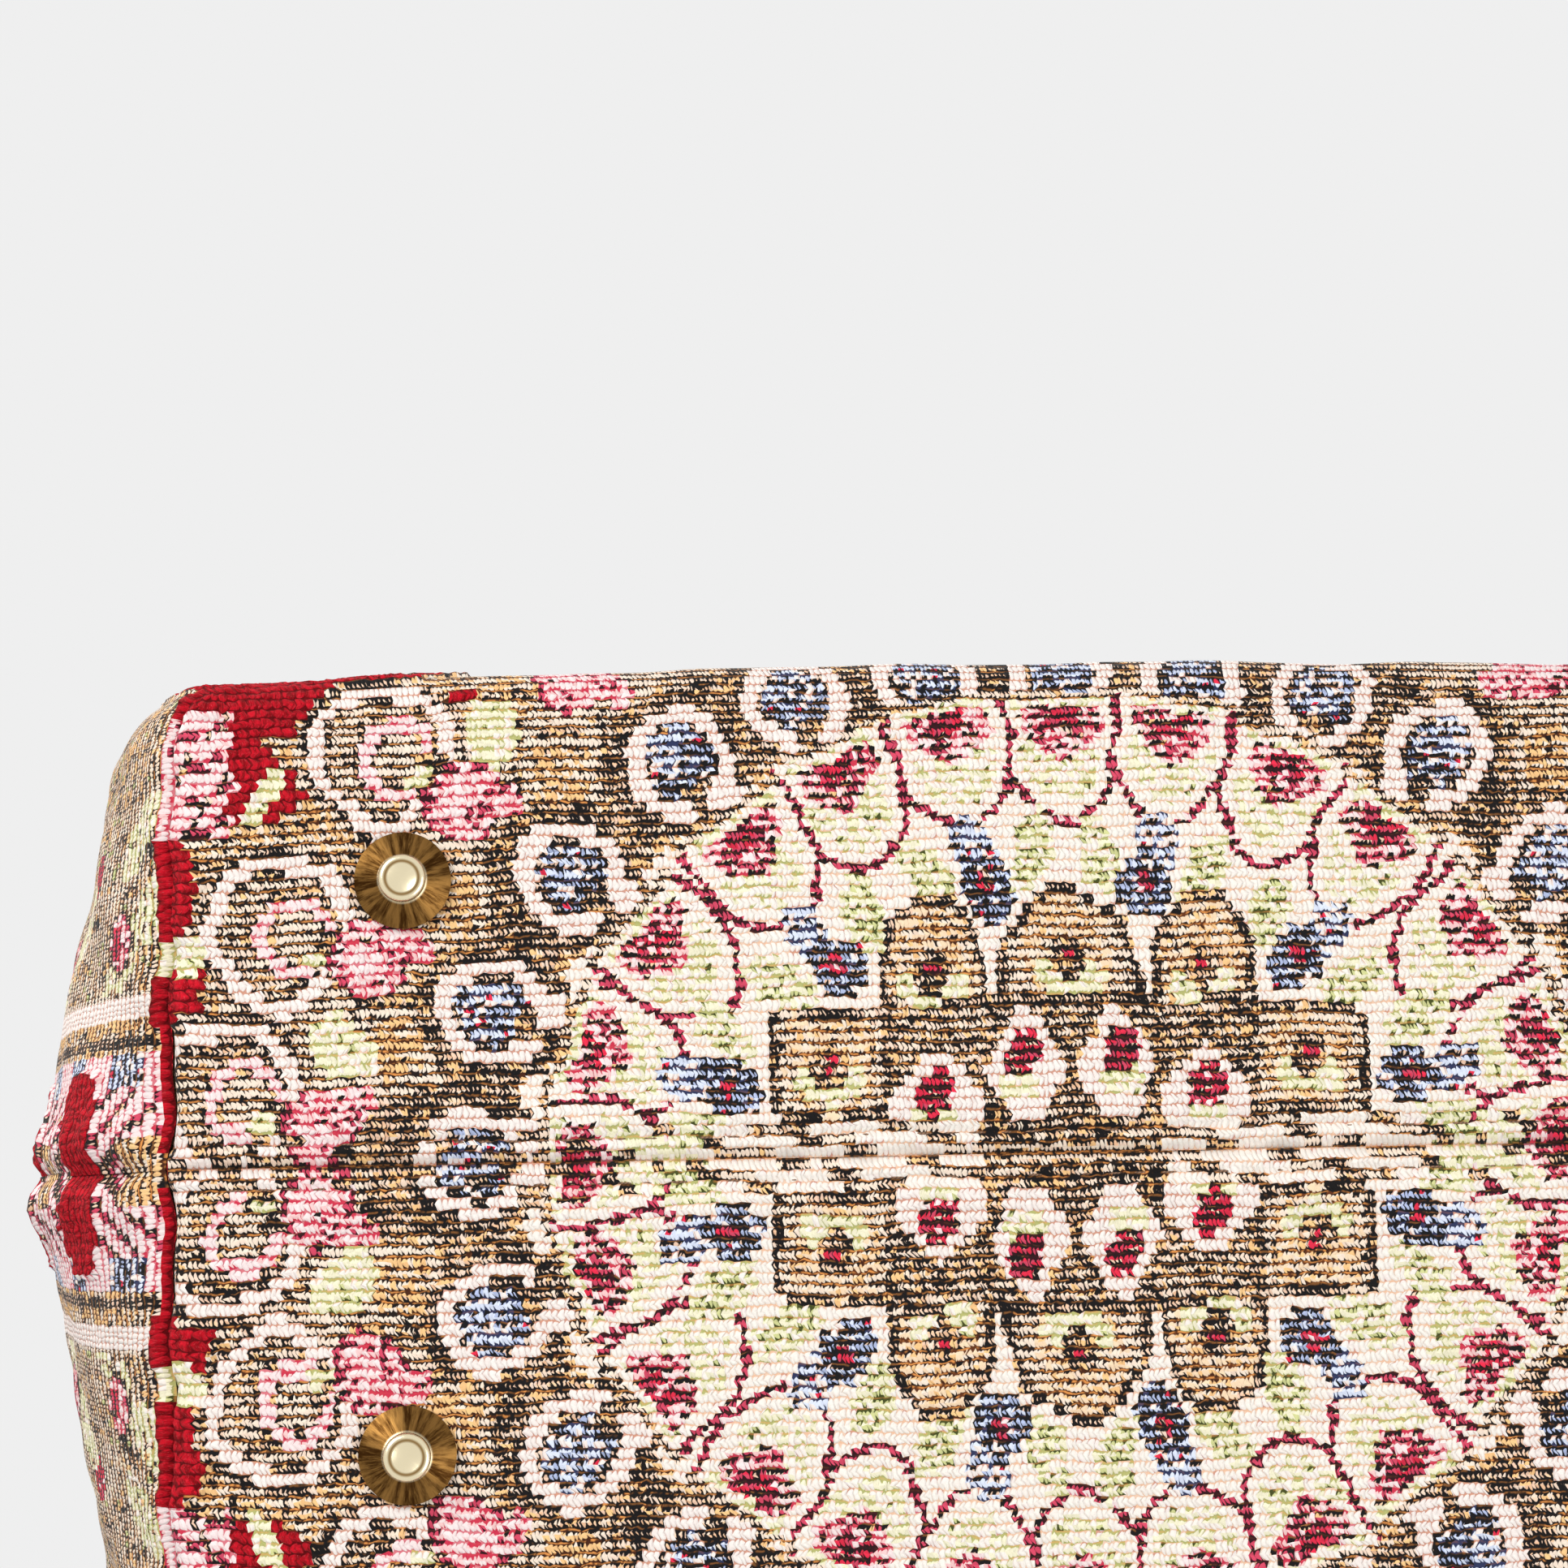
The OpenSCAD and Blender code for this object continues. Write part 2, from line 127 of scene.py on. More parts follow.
def noise(tree, vector, scale, detail=3.0, rough=0.55):
    values = {"Vector": vector, "Scale": scale, "Detail": detail, "Roughness": rough}
    return newNode(tree, "TexNoise", values).outputs["Fac"]


def objectPlace(tree):
    return newNode(tree, "TexCoord").outputs["Object"]


def axes(tree, vector):
    split = newNode(tree, "SeparateXYZ", {0: vector})
    return split.outputs["X"], split.outputs["Y"], split.outputs["Z"]


def mapped(tree, vector, scale, turn=0.0):
    values = {"Vector": vector, "Rotation": (0, 0, math.radians(turn)), "Scale": scale}
    return newNode(tree, "Mapping", values).outputs[0]


def bump(tree, height, distance, strength, bsdf):
    node = newNode(tree, "Bump", {"Height": height, "Distance": distance, "Strength": strength})
    feed(tree, node.outputs["Normal"], bsdf.inputs["Normal"])


def newGroup(name, inputs, outputs):
    group = bpy.data.node_groups.new(name, "ShaderNodeTree")
    for label, kind in inputs:
        group.interface.new_socket(label, in_out="INPUT", socket_type=kind)
    for label in outputs:
        group.interface.new_socket(label, in_out="OUTPUT", socket_type="NodeSocketFloat")
    return group, group.nodes.new("NodeGroupInput").outputs, group.nodes.new("NodeGroupOutput")


def useGroup(tree, group, **values):
    node = newNode(tree, "Group")
    node.node_tree = group
    feedAll(tree, node, values)
    return node.outputs


# camera, lamps and floor

cameraSet = dict(
    place=(-0.093, 0.010, -0.600),  # below the bag, looking up at the base
    aim=(-0.0472, -0.0624, 0.006),
    roll=1.21,
    lens=83.75,
    sensor=36,
)


def makeCamera():
    bpy.ops.object.select_all(action="DESELECT")
    bpy.ops.object.camera_add(location=cameraSet["place"])
    cam = bpy.context.object
    cam.name = "photoCamera"
    cam.data.lens = cameraSet["lens"]
    cam.data.sensor_width = cameraSet["sensor"]
    forward = (Vector(cameraSet["aim"]) - Vector(cameraSet["place"])).normalized()
    level = Vector((0, -1, 0))
    level = (level - forward * level.dot(forward)).normalized()
    turn = math.radians(cameraSet["roll"])
    up = level * math.cos(turn) + forward.cross(level) * math.sin(turn)
    facing = Matrix((forward.cross(up), up, -forward)).transposed().to_4x4()
    cam.matrix_world = Matrix.Translation(cameraSet["place"]) @ facing
    scene.camera = cam


lampSet = dict(
    spots=(  # place, size and power of each soft box, all aimed at the middle of the bag
        ((-0.75, -0.60, -0.85), 0.8, 11.4),
        ((0.80, 0.35, -0.95), 1.0, 7.0),
        ((-1.00, -1.30, 1.30), 1.2, 26.0),
        ((1.40, -0.70, 0.90), 1.2, 13.0),
        ((0.30, 1.50, 1.20), 1.4, 17.0),
    ),
    target=(0, 0, 0.06),
    ambient=0.42,
    backdrop=(239, 239, 239),
)


def makeLamps():
    for place, size, power in lampSet["spots"]:
        bpy.ops.object.select_all(action="DESELECT")
        bpy.ops.object.light_add(type="AREA", location=place)
        lamp = bpy.context.object
        lamp.data.shape = "DISK"
        lamp.data.size = size
        lamp.data.energy = power
        lamp.visible_camera = False
        toTarget = Vector(lampSet["target"]) - Vector(place)
        lamp.rotation_euler = toTarget.to_track_quat("-Z", "Y").to_euler()


def makeWorld():
    world = bpy.data.worlds.new("studio")
    scene.world = world
    world.use_nodes = True
    tree = world.node_tree
    tree.nodes.clear()
    rays = newNode(tree, "LightPath").outputs
    seen = mathNode(tree, "MAXIMUM", rays["Is Camera Ray"], rays["Is Glossy Ray"])
    seen = mathNode(tree, "MAXIMUM", seen, rays["Is Transmission Ray"])
    soft = newNode(tree, "Background", {"Color": (1, 1, 1, 1), "Strength": lampSet["ambient"]})
    pale = newNode(tree, "Background", {"Color": rgba(lampSet["backdrop"])})
    newNode(tree, "OutputWorld", {"Surface": mixShader(tree, seen, soft, pale).outputs[0]})


floorSet = dict(size=16.0, colour=(208, 208, 208), rough=0.9, evenFrom=0.35, evenTo=1.3)


def makeFloor():
    bpy.ops.object.select_all(action="DESELECT")
    bpy.ops.mesh.primitive_plane_add(size=floorSet["size"])
    floor = bpy.context.object
    floor.name = "studioFloor"
    material, tree, bsdf = newMaterial("paleFloor")
    feedAll(tree, bsdf, {"Base Color": rgba(floorSet["colour"]), "Roughness": floorSet["rough"]})
    away = newNode(tree, "VectorMath")
    away.operation = "LENGTH"
    feed(tree, objectPlace(tree), away.inputs[0])
    far = ramp(tree, away.outputs["Value"], floorSet["evenFrom"], floorSet["evenTo"])
    even = newNode(tree, "Emission", {"Color": rgba(lampSet["backdrop"])})
    pale = mixShader(tree, far, bsdf, even)
    above = mathNode(tree, "SUBTRACT", 1.0, newNode(tree, "NewGeometry").outputs["Backfacing"])
    cameraRay = newNode(tree, "LightPath").outputs["Is Camera Ray"]
    solid = mathNode(tree, "MULTIPLY", cameraRay, above)  # only a camera above it sees it
    shown = mixShader(tree, solid, newNode(tree, "BsdfTransparent"), pale)
    feed(tree, shown.outputs[0], tree.nodes["Material Output"].inputs["Surface"])
    floor.data.materials.append(material)


# one yarn bead per unit of Place: rounded puffs, or level dashes and thin strokes where the yarn is fine

beadSet = dict(
    rowSway=(0.55, 2.0, 0.30), columnSway=(0.9, 1.0, 0.7), lumps=(1.7, 2.0, 0.9),  # noise, and its size
    rowMiddle=1.1,
    puffSlant=0.3, puffSide=(2.2, 0.78), puffTall=(2.6, 0.85),  # power and share
    strokeSlant=0.45, strokePitch=1.2, strokeSide=(1.6, 0.55), strokeTall=1.8,
    dashStretch=(0.32, 1.0, 1.0), dashNoise=(1.1, 2.0), dashSize=(2.4, -0.25),
    patchNoise=(0.16, 2.0), patchSize=-0.58, beadEdge=(0.13, 0.31),
    breakNoise=(0.8, 1.0), breakEdge=(0.38, 0.56), rowEdge=(0.74, 0.98),
)


def makeWeaveGroup():
    inputs = (("Place", "NodeSocketVector"), ("Fine", "NodeSocketFloat"))
    group, given, made = newGroup("yarnBeads", inputs, ("Bead", "Height", "Row"))
    place, dense = given["Place"], given["Fine"]
    fine = mathNode(group, "MINIMUM", dense, 1.0)  # above one, the gaps only get wider

    def sway(scale, detail, size):
        return times(group, noise(group, place, scale, detail), size, -size / 2)

    def offMiddle(value, power, share):
        part = mathNode(group, "SUBTRACT", mathNode(group, "FRACT", value), 0.5)
        part = times(group, mathNode(group, "ABSOLUTE", part), 2.0)
        return times(group, mathNode(group, "POWER", part, power), share)

    across, up, _ = axes(group, place)
    inRow = mathNode(group, "FRACT", mathNode(group, "ADD", up, sway(*beadSet["rowSway"])))
    column = mathNode(group, "ADD", across, sway(*beadSet["columnSway"]))
    tall = mathNode(group, "ABSOLUTE", times(group, inRow, 2.0, -beadSet["rowMiddle"]))

    power, share = beadSet["puffTall"]
    puff = offMiddle(times(group, inRow, beadSet["puffSlant"], column), *beadSet["puffSide"])
    puff = times(group, mathNode(group, "POWER", tall, power), share, puff)

    level = mapped(group, place, beadSet["dashStretch"])
    dashes = times(group, noise(group, level, *beadSet["dashNoise"]), *beadSet["dashSize"])
    slanted = times(group, inRow, beadSet["strokeSlant"], times(group, column, beadSet["strokePitch"]))
    stroke = offMiddle(slanted, *beadSet["strokeSide"])
    stroke = times(group, mathNode(group, "POWER", tall, beadSet["strokeTall"]), dashes, stroke)

    away = times(group, puff, mathNode(group, "SUBTRACT", 1.0, fine))
    away = mathNode(group, "ADD", times(group, stroke, fine, away), sway(*beadSet["lumps"]))
    height = mathNode(group, "SUBTRACT", 1.0, away, clamp=True)
    patch = times(group, noise(group, place, *beadSet["patchNoise"]), beadSet["patchSize"])  # denser here and there
    bead = ramp(group, times(group, dense, patch, height), *beadSet["beadEdge"])
    broken = ramp(group, noise(group, place, *beadSet["breakNoise"]), *beadSet["breakEdge"])
    row = times(group, ramp(group, tall, *beadSet["rowEdge"]), broken)
    feedAll(group, made, {"Bead": bead, "Height": height, "Row": row})
    return group


# pebbled leather: a height for the bump, and a blotch for its colour

grainSet = dict(pebble=900, creaseEdge=(0.02, 0.16), fine=(2600, 2.0), fineShare=0.35, blotch=(70, 5.0, 0.62))


def makeLeatherGroup():
    inputs = (("Place", "NodeSocketVector"),)
    group, given, made = newGroup("leatherGrain", inputs, ("Height", "Blotch", "Crease"))
    place = given["Place"]
    pebble = newNode(group, "TexVoronoi", {"Vector": place, "Scale": grainSet["pebble"]})
    pebble.feature = "DISTANCE_TO_EDGE"
    crease = ramp(group, pebble.outputs["Distance"], *grainSet["creaseEdge"])
    height = times(group, noise(group, place, *grainSet["fine"]), grainSet["fineShare"], crease)
    blotch = noise(group, place, *grainSet["blotch"])
    feedAll(group, made, {"Height": height, "Blotch": blotch, "Crease": crease})
    return group


# old brass: patches of tarnish and fine scratches

patinaSet = dict(patches=(160, 6.0, 0.65), patchEdge=(0.36, 0.70), stretch=(1.0, 9.0, 1.0), scratch=(900, 4.0))


def makeBrassGroup():
    inputs = (("Place", "NodeSocketVector"),)
    group, given, made = newGroup("brassPatina", inputs, ("Tarnish", "Scratch"))
    tarnish = ramp(group, noise(group, given["Place"], *patinaSet["patches"]), *patinaSet["patchEdge"])
    scratch = noise(group, mapped(group, given["Place"], patinaSet["stretch"]), *patinaSet["scratch"])
    feedAll(group, made, {"Tarnish": tarnish, "Scratch": scratch})
    return group


# the carpet cloth: a T cut, folded over the base and sewn at the ends

cloth = dict(
    baseHalf=150.0,  # half the base along X
    foldAt=80.0,  # cloth from the bottom seam to the fold
    sideSeam=230.0,  # cloth from the middle to the side seam
    topAt=264.0,  # cloth from the bottom seam to the throat
    corner=10.0,  # cloth that turns the corner, on each side of it
    endTurn=2.6,  # how much further the base turns up at the end seams than at the front fold
    baseCells=320,
    endCells=85,
    baseHalfRows=88,  # half a row of weave each
    wallHalfRows=12,  # fine rows just above the fold
    wallRows=95,
    mapCells=(512, 256, 1),  # beads across and rows in one unit of the map
    pileLift=0.7,
    lean=0.2,  # beads lean to and fro
    stray=0.26,  # and lie unevenly
    calm=(0.5, 2.0),  # but not beside a seam
    seamWander=((0.45, 31, 1, 0.4), (0.3, 13.7, 1, 2.0)),
    wander=((0.20, 37, 90, 0.3), (0.11, -17, 61, 1.2)),
    wanderTo=5.0,
    far=99.0,  # no seam near
    seed=11,
)

body = dict(
    floorZ=6.0, height=178.0, halfX=150.0, halfY=80.0, edgeR=5.0, cornerR=10.0,
    widen=5, swellX=(15, 0.8), narrow=(28, 1.6), swellY=(8, 1), roundOut=16, peak=(12, 0.7), peakUp=3, bow=3,
)


def swell(h, size, power):
    return size * np.sin(np.pi * np.clip(h, 0, 1) ** power)


def halfX(h):
    return body["halfX"] + body["widen"] * h + swell(h, *body["swellX"])


def halfY(h):
    size, power = body["narrow"]
    return body["halfY"] - size * np.clip(h, 0, None) ** power + swell(h, *body["swellY"])


def cornerR(h):
    return body["cornerR"] + body["roundOut"] * h


def seamPeak(h):
    return swell(h, *body["peak"]) + body["peakUp"] * h


# distance to the sewn edge along the cloth, to inset and rise of the turned edge
# further is how much more of the turn lies on the base: the end seams sit high, the front fold half way
def rimProfile(depth, further):
    r, c = body["edgeR"], cloth["corner"]
    quarter = r * math.pi / 4 + further
    angle = (quarter - depth) / r
    flat = depth > quarter
    inset = np.where(flat, r + (depth - quarter) * (c - r) / (c - r * math.pi / 4), r - r * np.sin(angle))
    rise = np.where(flat, 0, r - r * np.cos(angle))
    return inset, rise


def foldBase(u, v):
    a, sign = np.abs(u), np.sign(u)
    half, fold, c, more = cloth["baseHalf"], cloth["foldAt"], cloth["corner"], cloth["endTurn"]
    x, y, z = a.copy(), v.copy(), np.zeros_like(a)
    front = (a <= half - c) & (v > fold - c)
    inset, rise = rimProfile(fold - v, 0.0)
    y = np.where(front, fold - inset, y)
    z = np.where(front, rise, z)
    end = (a > half - c) & (v <= fold - c)
    inset, rise = rimProfile((half - a) * (1 + more / c), more)
    x = np.where(end, half - inset, x)
    z = np.where(end, rise, z)
    corner = (a > half - c) & (v > fold - c)
    p, q = np.clip((a - half + c) / c, 0, 1), np.clip((v - fold + c) / c, 0, 1)
    px, qy = p * np.sqrt(1 - q * q / 2), q * np.sqrt(1 - p * p / 2)
    reach = np.hypot(px, qy)
    safe = np.maximum(reach, 1e-6)
    further = more * (px / safe) ** 2
    inset, rise = rimProfile((c + further) * (1 - reach), further)
    scale = np.where(reach > 1e-6, (c - inset) / safe, 0)
    x = np.where(corner, half - c + px * scale, x)
    y = np.where(corner, fold - c + qy * scale, y)
    z = np.where(corner, rise, z)
    bow = body["bow"] * np.clip(1 - (x / (half - c)) ** 2, 0, 1)
    y = y + bow * v / fold
    return np.stack([sign * x, -y, body["floorZ"] + z], 1)


def cornerAngle(a):  # which way the wall faces: a quarter turn at the front, nought at the ends
    half, c, k = cloth["baseHalf"], cloth["corner"], math.sqrt(0.5)
    fromFront = np.arcsin(np.clip(k * (a - half + c) / c, 0, 1))
    fromEnd = np.arcsin(np.clip(k * (half + c - a) / c, 0, 1))
    return np.where(a < half, np.pi / 2 - fromFront, fromEnd)


def wallClimb(quarter):  # rise of the wall for each length of cloth
    return (body["height"] - body["edgeR"]) / (cloth["topAt"] - cloth["foldAt"] - quarter)


def foldWall(u, v):
    a, sign = np.abs(u), np.sign(u)
    half, side, c = cloth["baseHalf"], cloth["sideSeam"], cloth["corner"]
    r = body["edgeR"]
    theta = cornerAngle(a)
    quarter = r * math.pi / 4 - cloth["endTurn"] * np.cos(theta) ** 2
    t = v - cloth["foldAt"]
    angle = np.pi / 2 - (quarter - np.minimum(t, quarter)) / r
    inset = r - r * np.sin(angle)
    rise = np.where(t > quarter, r + (t - quarter) * wallClimb(quarter), r - r * np.cos(angle))
    turned = r - r * np.sin(quarter / r)
    h = (rise - turned) / (body["height"] - turned)  # nought at the sewn edge
    hx, hy, hr = halfX(h), halfY(h), cornerR(h)
    s = np.clip(a / (half - c), 0, 1)
    x = s * (hx - hr)
    y = hy + body["bow"] * (1 - s * s) - inset
    corner = (a > half - c) & (a <= half + c)
    x = np.where(corner, hx - hr + (hr - inset) * np.cos(theta), x)
    y = np.where(corner, hy - hr + (hr - inset) * np.sin(theta), y)
    end = a > half + c
    q = np.clip((side - a) / (side - half - c), 0, 1)
    x = np.where(end, hx + seamPeak(h) * (1 - q) - inset, x)
    y = np.where(end, (hy - hr) * q, y)
    return np.stack([sign * x, -y, body["floorZ"] + rise], 1)


def wave(u, v, table):  # a sum of long soft waves
    return sum(size * np.sin(2 * np.pi * (u / lu + v / lv) + phase) for size, lu, lv, phase in table)


def teeDistance(a, v, onBase):  # cloth to the boxed-corner seam
    onEnd = np.where(a > cloth["baseHalf"], v - cloth["foldAt"], cloth["far"])
    return np.where(onBase, cloth["baseHalf"] - a, onEnd)


relief = dict(  # ridges and grooves: height, more at a pucker, distance from the seam, width
    bottom=((-1.6, 0, 0, 1.5), (-0.8, 0, 3.6, 0.7), (0.25, 0.55, 2.0, 1.2), (0.3, 0.35, 7.0, 3.2)),
    tee=((-1.1, 0, 0, 1.1), (0.15, 0.35, 5.0, 3.0)),
    side=((-2.2, 0, 0, 2.0), (0.4, 0.9, 6.0, 3.6)),
    bottomPucker=(8.3, 1.3, 13.0), teePucker=(9.5, 0.8), sidePucker=(10.5, 0.6, 9.0),
    sunk=0.2,
    meeting=(3.0, 6.0),  # where the seams meet, the cloth is held flat
    slack=(0.3, 0.7, 60, 14),  # least, more above the fold, over this height, held this far below the top
    folds=((0.45, 61, 97, 0.4), (0.35, -43, 58, 1.9), (0.25, 29, -37, 2.7), (0.16, 17, 23, 0.9)),
)


# how far the sewn and filled cloth stands off its plain shape, along its own normal
def clothRelief(u, v):
    a = np.abs(u)
    onBase = v < cloth["foldAt"]
    toTee = teeDistance(a, v, onBase)
    toSide = np.where(onBase, cloth["far"], cloth["sideSeam"] - a)

    def puckers(along, pitch, phase):
        return 0.5 + 0.5 * np.sin(2 * np.pi * along / pitch + phase)

    def uneven(along, pitch, size, length):
        return puckers(along, pitch, size * np.sin(along / length))

    def ridges(distance, pucker, table):
        shape = ((low + more * pucker, (distance - at) / wide) for low, more, at, wide in table)
        return sum(height * np.exp(-(off ** 2)) for height, off in shape)

    alongTee = np.where(onBase, v, cloth["sideSeam"] - a)
    d = ridges(v, uneven(u, *relief["bottomPucker"]), relief["bottom"]) - relief["sunk"]
    d += ridges(toTee, puckers(alongTee, *relief["teePucker"]), relief["tee"])
    d += ridges(toSide, uneven(v, *relief["sidePucker"]), relief["side"])
    nearTee, nearEnd = relief["meeting"]
    toMeeting = np.hypot(toTee / nearTee, np.where(onBase, v, toSide) / nearEnd)
    d *= 1 - np.exp(-(toMeeting ** 2))
    least, more, tall, held = relief["slack"]
    slack = np.where(onBase, least, least + more * np.clip((v - cloth["foldAt"]) / tall, 0, 1))
    slack = slack * np.clip((cloth["topAt"] - v) / held, 0, 1)
    return d + slack * wave(u, v, relief["folds"])


# yarns: bead colour, colour of the gaps (partly the yarn showing there, partly painted shade between the beads),
# share of gold thread between rows, fineness, spread of light and dark
yarns = dict(
    pile=((248, 24, 48), (104, 2, 8), 0.0, 0.0, 0.18),
    cream=((255, 246, 236), (242, 206, 180), 0.30, 0.0, 0.03),
    ivory=((255, 243, 236), (212, 156, 138), 0.20, 0.0, 0.05),
    tan=((255, 234, 214), (26, 13, 9), 0.78, 0.88, 0.06),
    gold=((255, 204, 142), (70, 31, 8), 0.90, 0.85, 0.12),
    wheat=((255, 224, 188), (98, 48, 18), 0.85, 0.62, 0.08),
    hatch=((255, 228, 206), (18, 9, 7), 0.66, 1.12, 0.10),
    dark=((252, 202, 162), (9, 5, 5), 0.50, 1.85, 0.22),
    black=((248, 208, 180), (6, 3, 4), 0.24, 2.05, 0.22),
    crimson=((216, 72, 100), (46, 4, 14), 0.04, 1.1, 0.16),
    heart=((232, 44, 74), (30, 3, 8), 0.04, 1.0, 0.20),
    pink=((255, 208, 206), (210, 50, 78), 0.06, 0.85, 0.10),
    blush=((255, 234, 232), (222, 120, 132), 0.05, 0.25, 0.06),
    leaf=((248, 242, 210), (186, 186, 116), 0.40, 0.62, 0.08),
    moss=((214, 216, 150), (70, 76, 30), 0.35, 1.0, 0.12),
    sky=((224, 232, 252), (44, 52, 88), 0.10, 0.85, 0.10),
    navy=((176, 188, 222), (7, 7, 14), 0.08, 1.6, 0.22),
    sage=((255, 226, 196), (40, 20, 9), 0.85, 1.15, 0.12),
)
yarnNames = list(yarns)

# now and then a bead shows another yarn of the same weave
strays = dict(
    cream=(("ivory", 0.12),),
    tan=(("hatch", 0.14), ("gold", 0.20), ("dark", 0.05)),
    gold=(("hatch", 0.14), ("tan", 0.20), ("dark", 0.08)),
    wheat=(("gold", 0.22), ("tan", 0.22), ("hatch", 0.08)),
    hatch=(("tan", 0.15), ("dark", 0.16)),
    dark=(("hatch", 0.16), ("gold", 0.08), ("black", 0.28)),
    black=(("dark", 0.20),),
    heart=(("pink", 0.20), ("black", 0.08), ("crimson", 0.15)),
    pink=(("crimson", 0.16), ("blush", 0.34)),
    blush=(("pink", 0.14),),
    leaf=(("cream", 0.20), ("moss", 0.06)),
    sky=(("ivory", 0.18), ("navy", 0.18)),
    navy=(("sky", 0.22), ("heart", 0.02), ("ivory", 0.06)),
    sage=(("tan", 0.18), ("hatch", 0.18), ("dark", 0.12), ("moss", 0.06)),
)

# the same for half rows: yarn, upper, lower or every second row, from and to which chance, the other yarn
halfRowStrays = (
    ("black", "upper", 0, 0.22, "hatch"),
    # crimson: blush on the upper halves is a painted highlight, black on the lower halves painted shade
    ("crimson", "upper", 0, 0.14, "blush"),
    ("crimson", "lower", 0.80, 1, "black"),
    ("dark", "second", 0.62, 1, "gold"),
    ("sky", "lower", 0, 0.35, "navy"),
    ("navy", "lower", 0, 0.45, "black"),
    ("dark", "lower", 0, 0.5, "black"),
)

# where the motifs lie, in millimetres of cloth from the middle of the medallion
carpet = dict(
    repeat=190.0,  # from one medallion to the next along the cloth
    stretch=1.27,  # the medallion is wider than tall
    redEdge=(
        (0, 8, 14, 17, 22, 31, 34, 46, 52, 56),
        (148.8, 148.6, 147.5, 146, 143, 142.6, 145, 144.6, 145.2, 146),
    ),
    redCorner=(56, 129.5),
    redTop=(76.3, 104),
    rings=(  # reach, unevenness of the edge, yarn, share
        (104.0, 1, "tan", 1), (95.0, 1, "hatch", 1), (91.0, 0.6, "dark", 1),
        (91.0, 0.6, "black", 0.4), (74.5, 0, "gold", 1), (73.0, 0, "cream", 1),
    ),
    bandFlowers=((0, 79), (22.7, 78), (45, 75), (64.5, 64.3), (83, 46), (96.2, 24.7), (99.5, 0)),
    petals=((0, 67.5), (18.7, 66.5), (37.3, 59.6), (52.6, 49.2), (67.5, 34.2), (77.2, 17), (80.3, 0)),
    buds=((14.3, 45.2), (40.7, 32.3), (59.9, 12)),
    scrolls=((114.5, 67.8), (131.5, 38.5), (140.0, 11.5)),
    pinkFlowers=((101.0, 59.0), (116.5, 33.5), (125.0, 6.5), (82.0, 80.5)),
    greenBits=((96.0, 71.0), (121.0, 19.0), (110.0, 47.0)),
    tanBoxes=((84.5, 63.0), (103.5, 42.0), (112.0, 19.0)),
    boxPalmette=(40.4, 14.5),
    domePalmette=(23.0, 30.0),
    shields=(  # place, half width, lower and upper end, bud, height of the taper
        (22.8, 10.6, 7.6, -6.2, 6.6, (0.0, -0.3), 1.5),
        (7.6, 14.0, 7.2, -9.0, 9.8, (0.7, 2.0), 8.0),
    ),
    star=(15.5, 5.4),
    seamBand=(5.6, 60),
    cornerFlower=(145.6, 65.0),
    cornerLeaves=(((133.8, 60.5), "longLeaf"), ((146.5, 35.0), "shortLeaf")),
    wallRepeat=38,
    wallRepeats=5,
)

# ovals of a motif: yarn, middle along and outwards, half axes, turn, share
motifs = dict(
    greenBit=(("leaf", 0, 0, 4.5, 6.5, 0.5, 1),),
    longLeaf=(("leaf", 0, 0, 2.0, 5.6, 0.5, 1),),
    shortLeaf=(("leaf", 0, 0, 3.2, 3.4, 0, 1),),
    pinkFlower=(
        ("crimson", 0, 0, 7.13, 6.44, 0, 1),
        ("pink", 0, 0, 6.2, 5.6, 0, 1),
        ("blush", 1.0, 1.0, 2.6, 2.6, 0, 1),
        ("pink", -4.5, -5.5, 2.6, 3.6, 0, 1),
    ),
    bandFlower=(
        ("dark", 0, 0, 11.616, 13.2, 0, 1),
        ("black", 0, 0, 10.032, 11.4, 0, 1),
        ("ivory", 0, 0, 8.8, 10.0, 0, 1),
        ("black", 0, 0, 6.072, 6.9, 0, 1),
        ("navy", 0, 0, 5.368, 6.1, 0, 1),
        ("sky", 0, 1.6, 4.8, 5.2, 0, 0.5),
    ),
    bandTuft=(("ivory", -3.4, -9.2, 3.0, 2.4, 0, 1),),
    bud=(
        ("leaf", -9.0, 1.5, 3.4, 7.0, 0.45, 0.9),
        ("moss", -9.0, 1.5, 2.72, 5.6, 0.45, 0.3),
        ("leaf", 9.0, 1.5, 3.4, 7.0, -0.45, 0.9),
        ("moss", 9.0, 1.5, 2.72, 5.6, -0.45, 0.3),
        ("sky", 0.6, 4.4, 3.6, 5.6, 0, 1),
        ("navy", -0.6, -2.6, 4.5, 5.6, 0, 1),
        ("heart", -0.2, -2.0, 1.5, 1.5, 0, 1),
    ),
    palmetteEye=(
        ("wheat", 0, 1.0, 8.0, 9.6, 0, 0.85),
        ("leaf", 0, -2.6, 6.0, 3.4, 0, 1),
        ("dark", 0, 0, 3.0, 3.4, 0, 1),
        ("heart", 0, 0.6, 1.2, 1.2, 0, 1),
    ),
    shieldBud=(("leaf", 0.4, -4.6, 3.6, 2.6, 0, 1), ("heart", 0, 0, 3.2, 3.8, 0, 1)),
    endWall=(
        ("leaf", 56, 9, 4.2, 9.5, 0.7, 0.75),
        ("leaf", 44, 3, 4.2, 9.5, 0.7, 0.75),
        ("leaf", 33, 16, 4.2, 9.5, 0.7, 0.75),
        ("tan", 50, 26, 4.2, 9.5, -0.4, 0.75),
        ("black", 38.5, 15, 5.6, 5.2, 0, 1),
        ("pink", 38.5, 15, 4.6, 4.2, 0, 1),
        ("heart", 38.5, 16.5, 3.0, 2.4, 0, 1),
        ("heart", 52.0, 33, 3.8, 3.4, 0, 1),
    ),
)

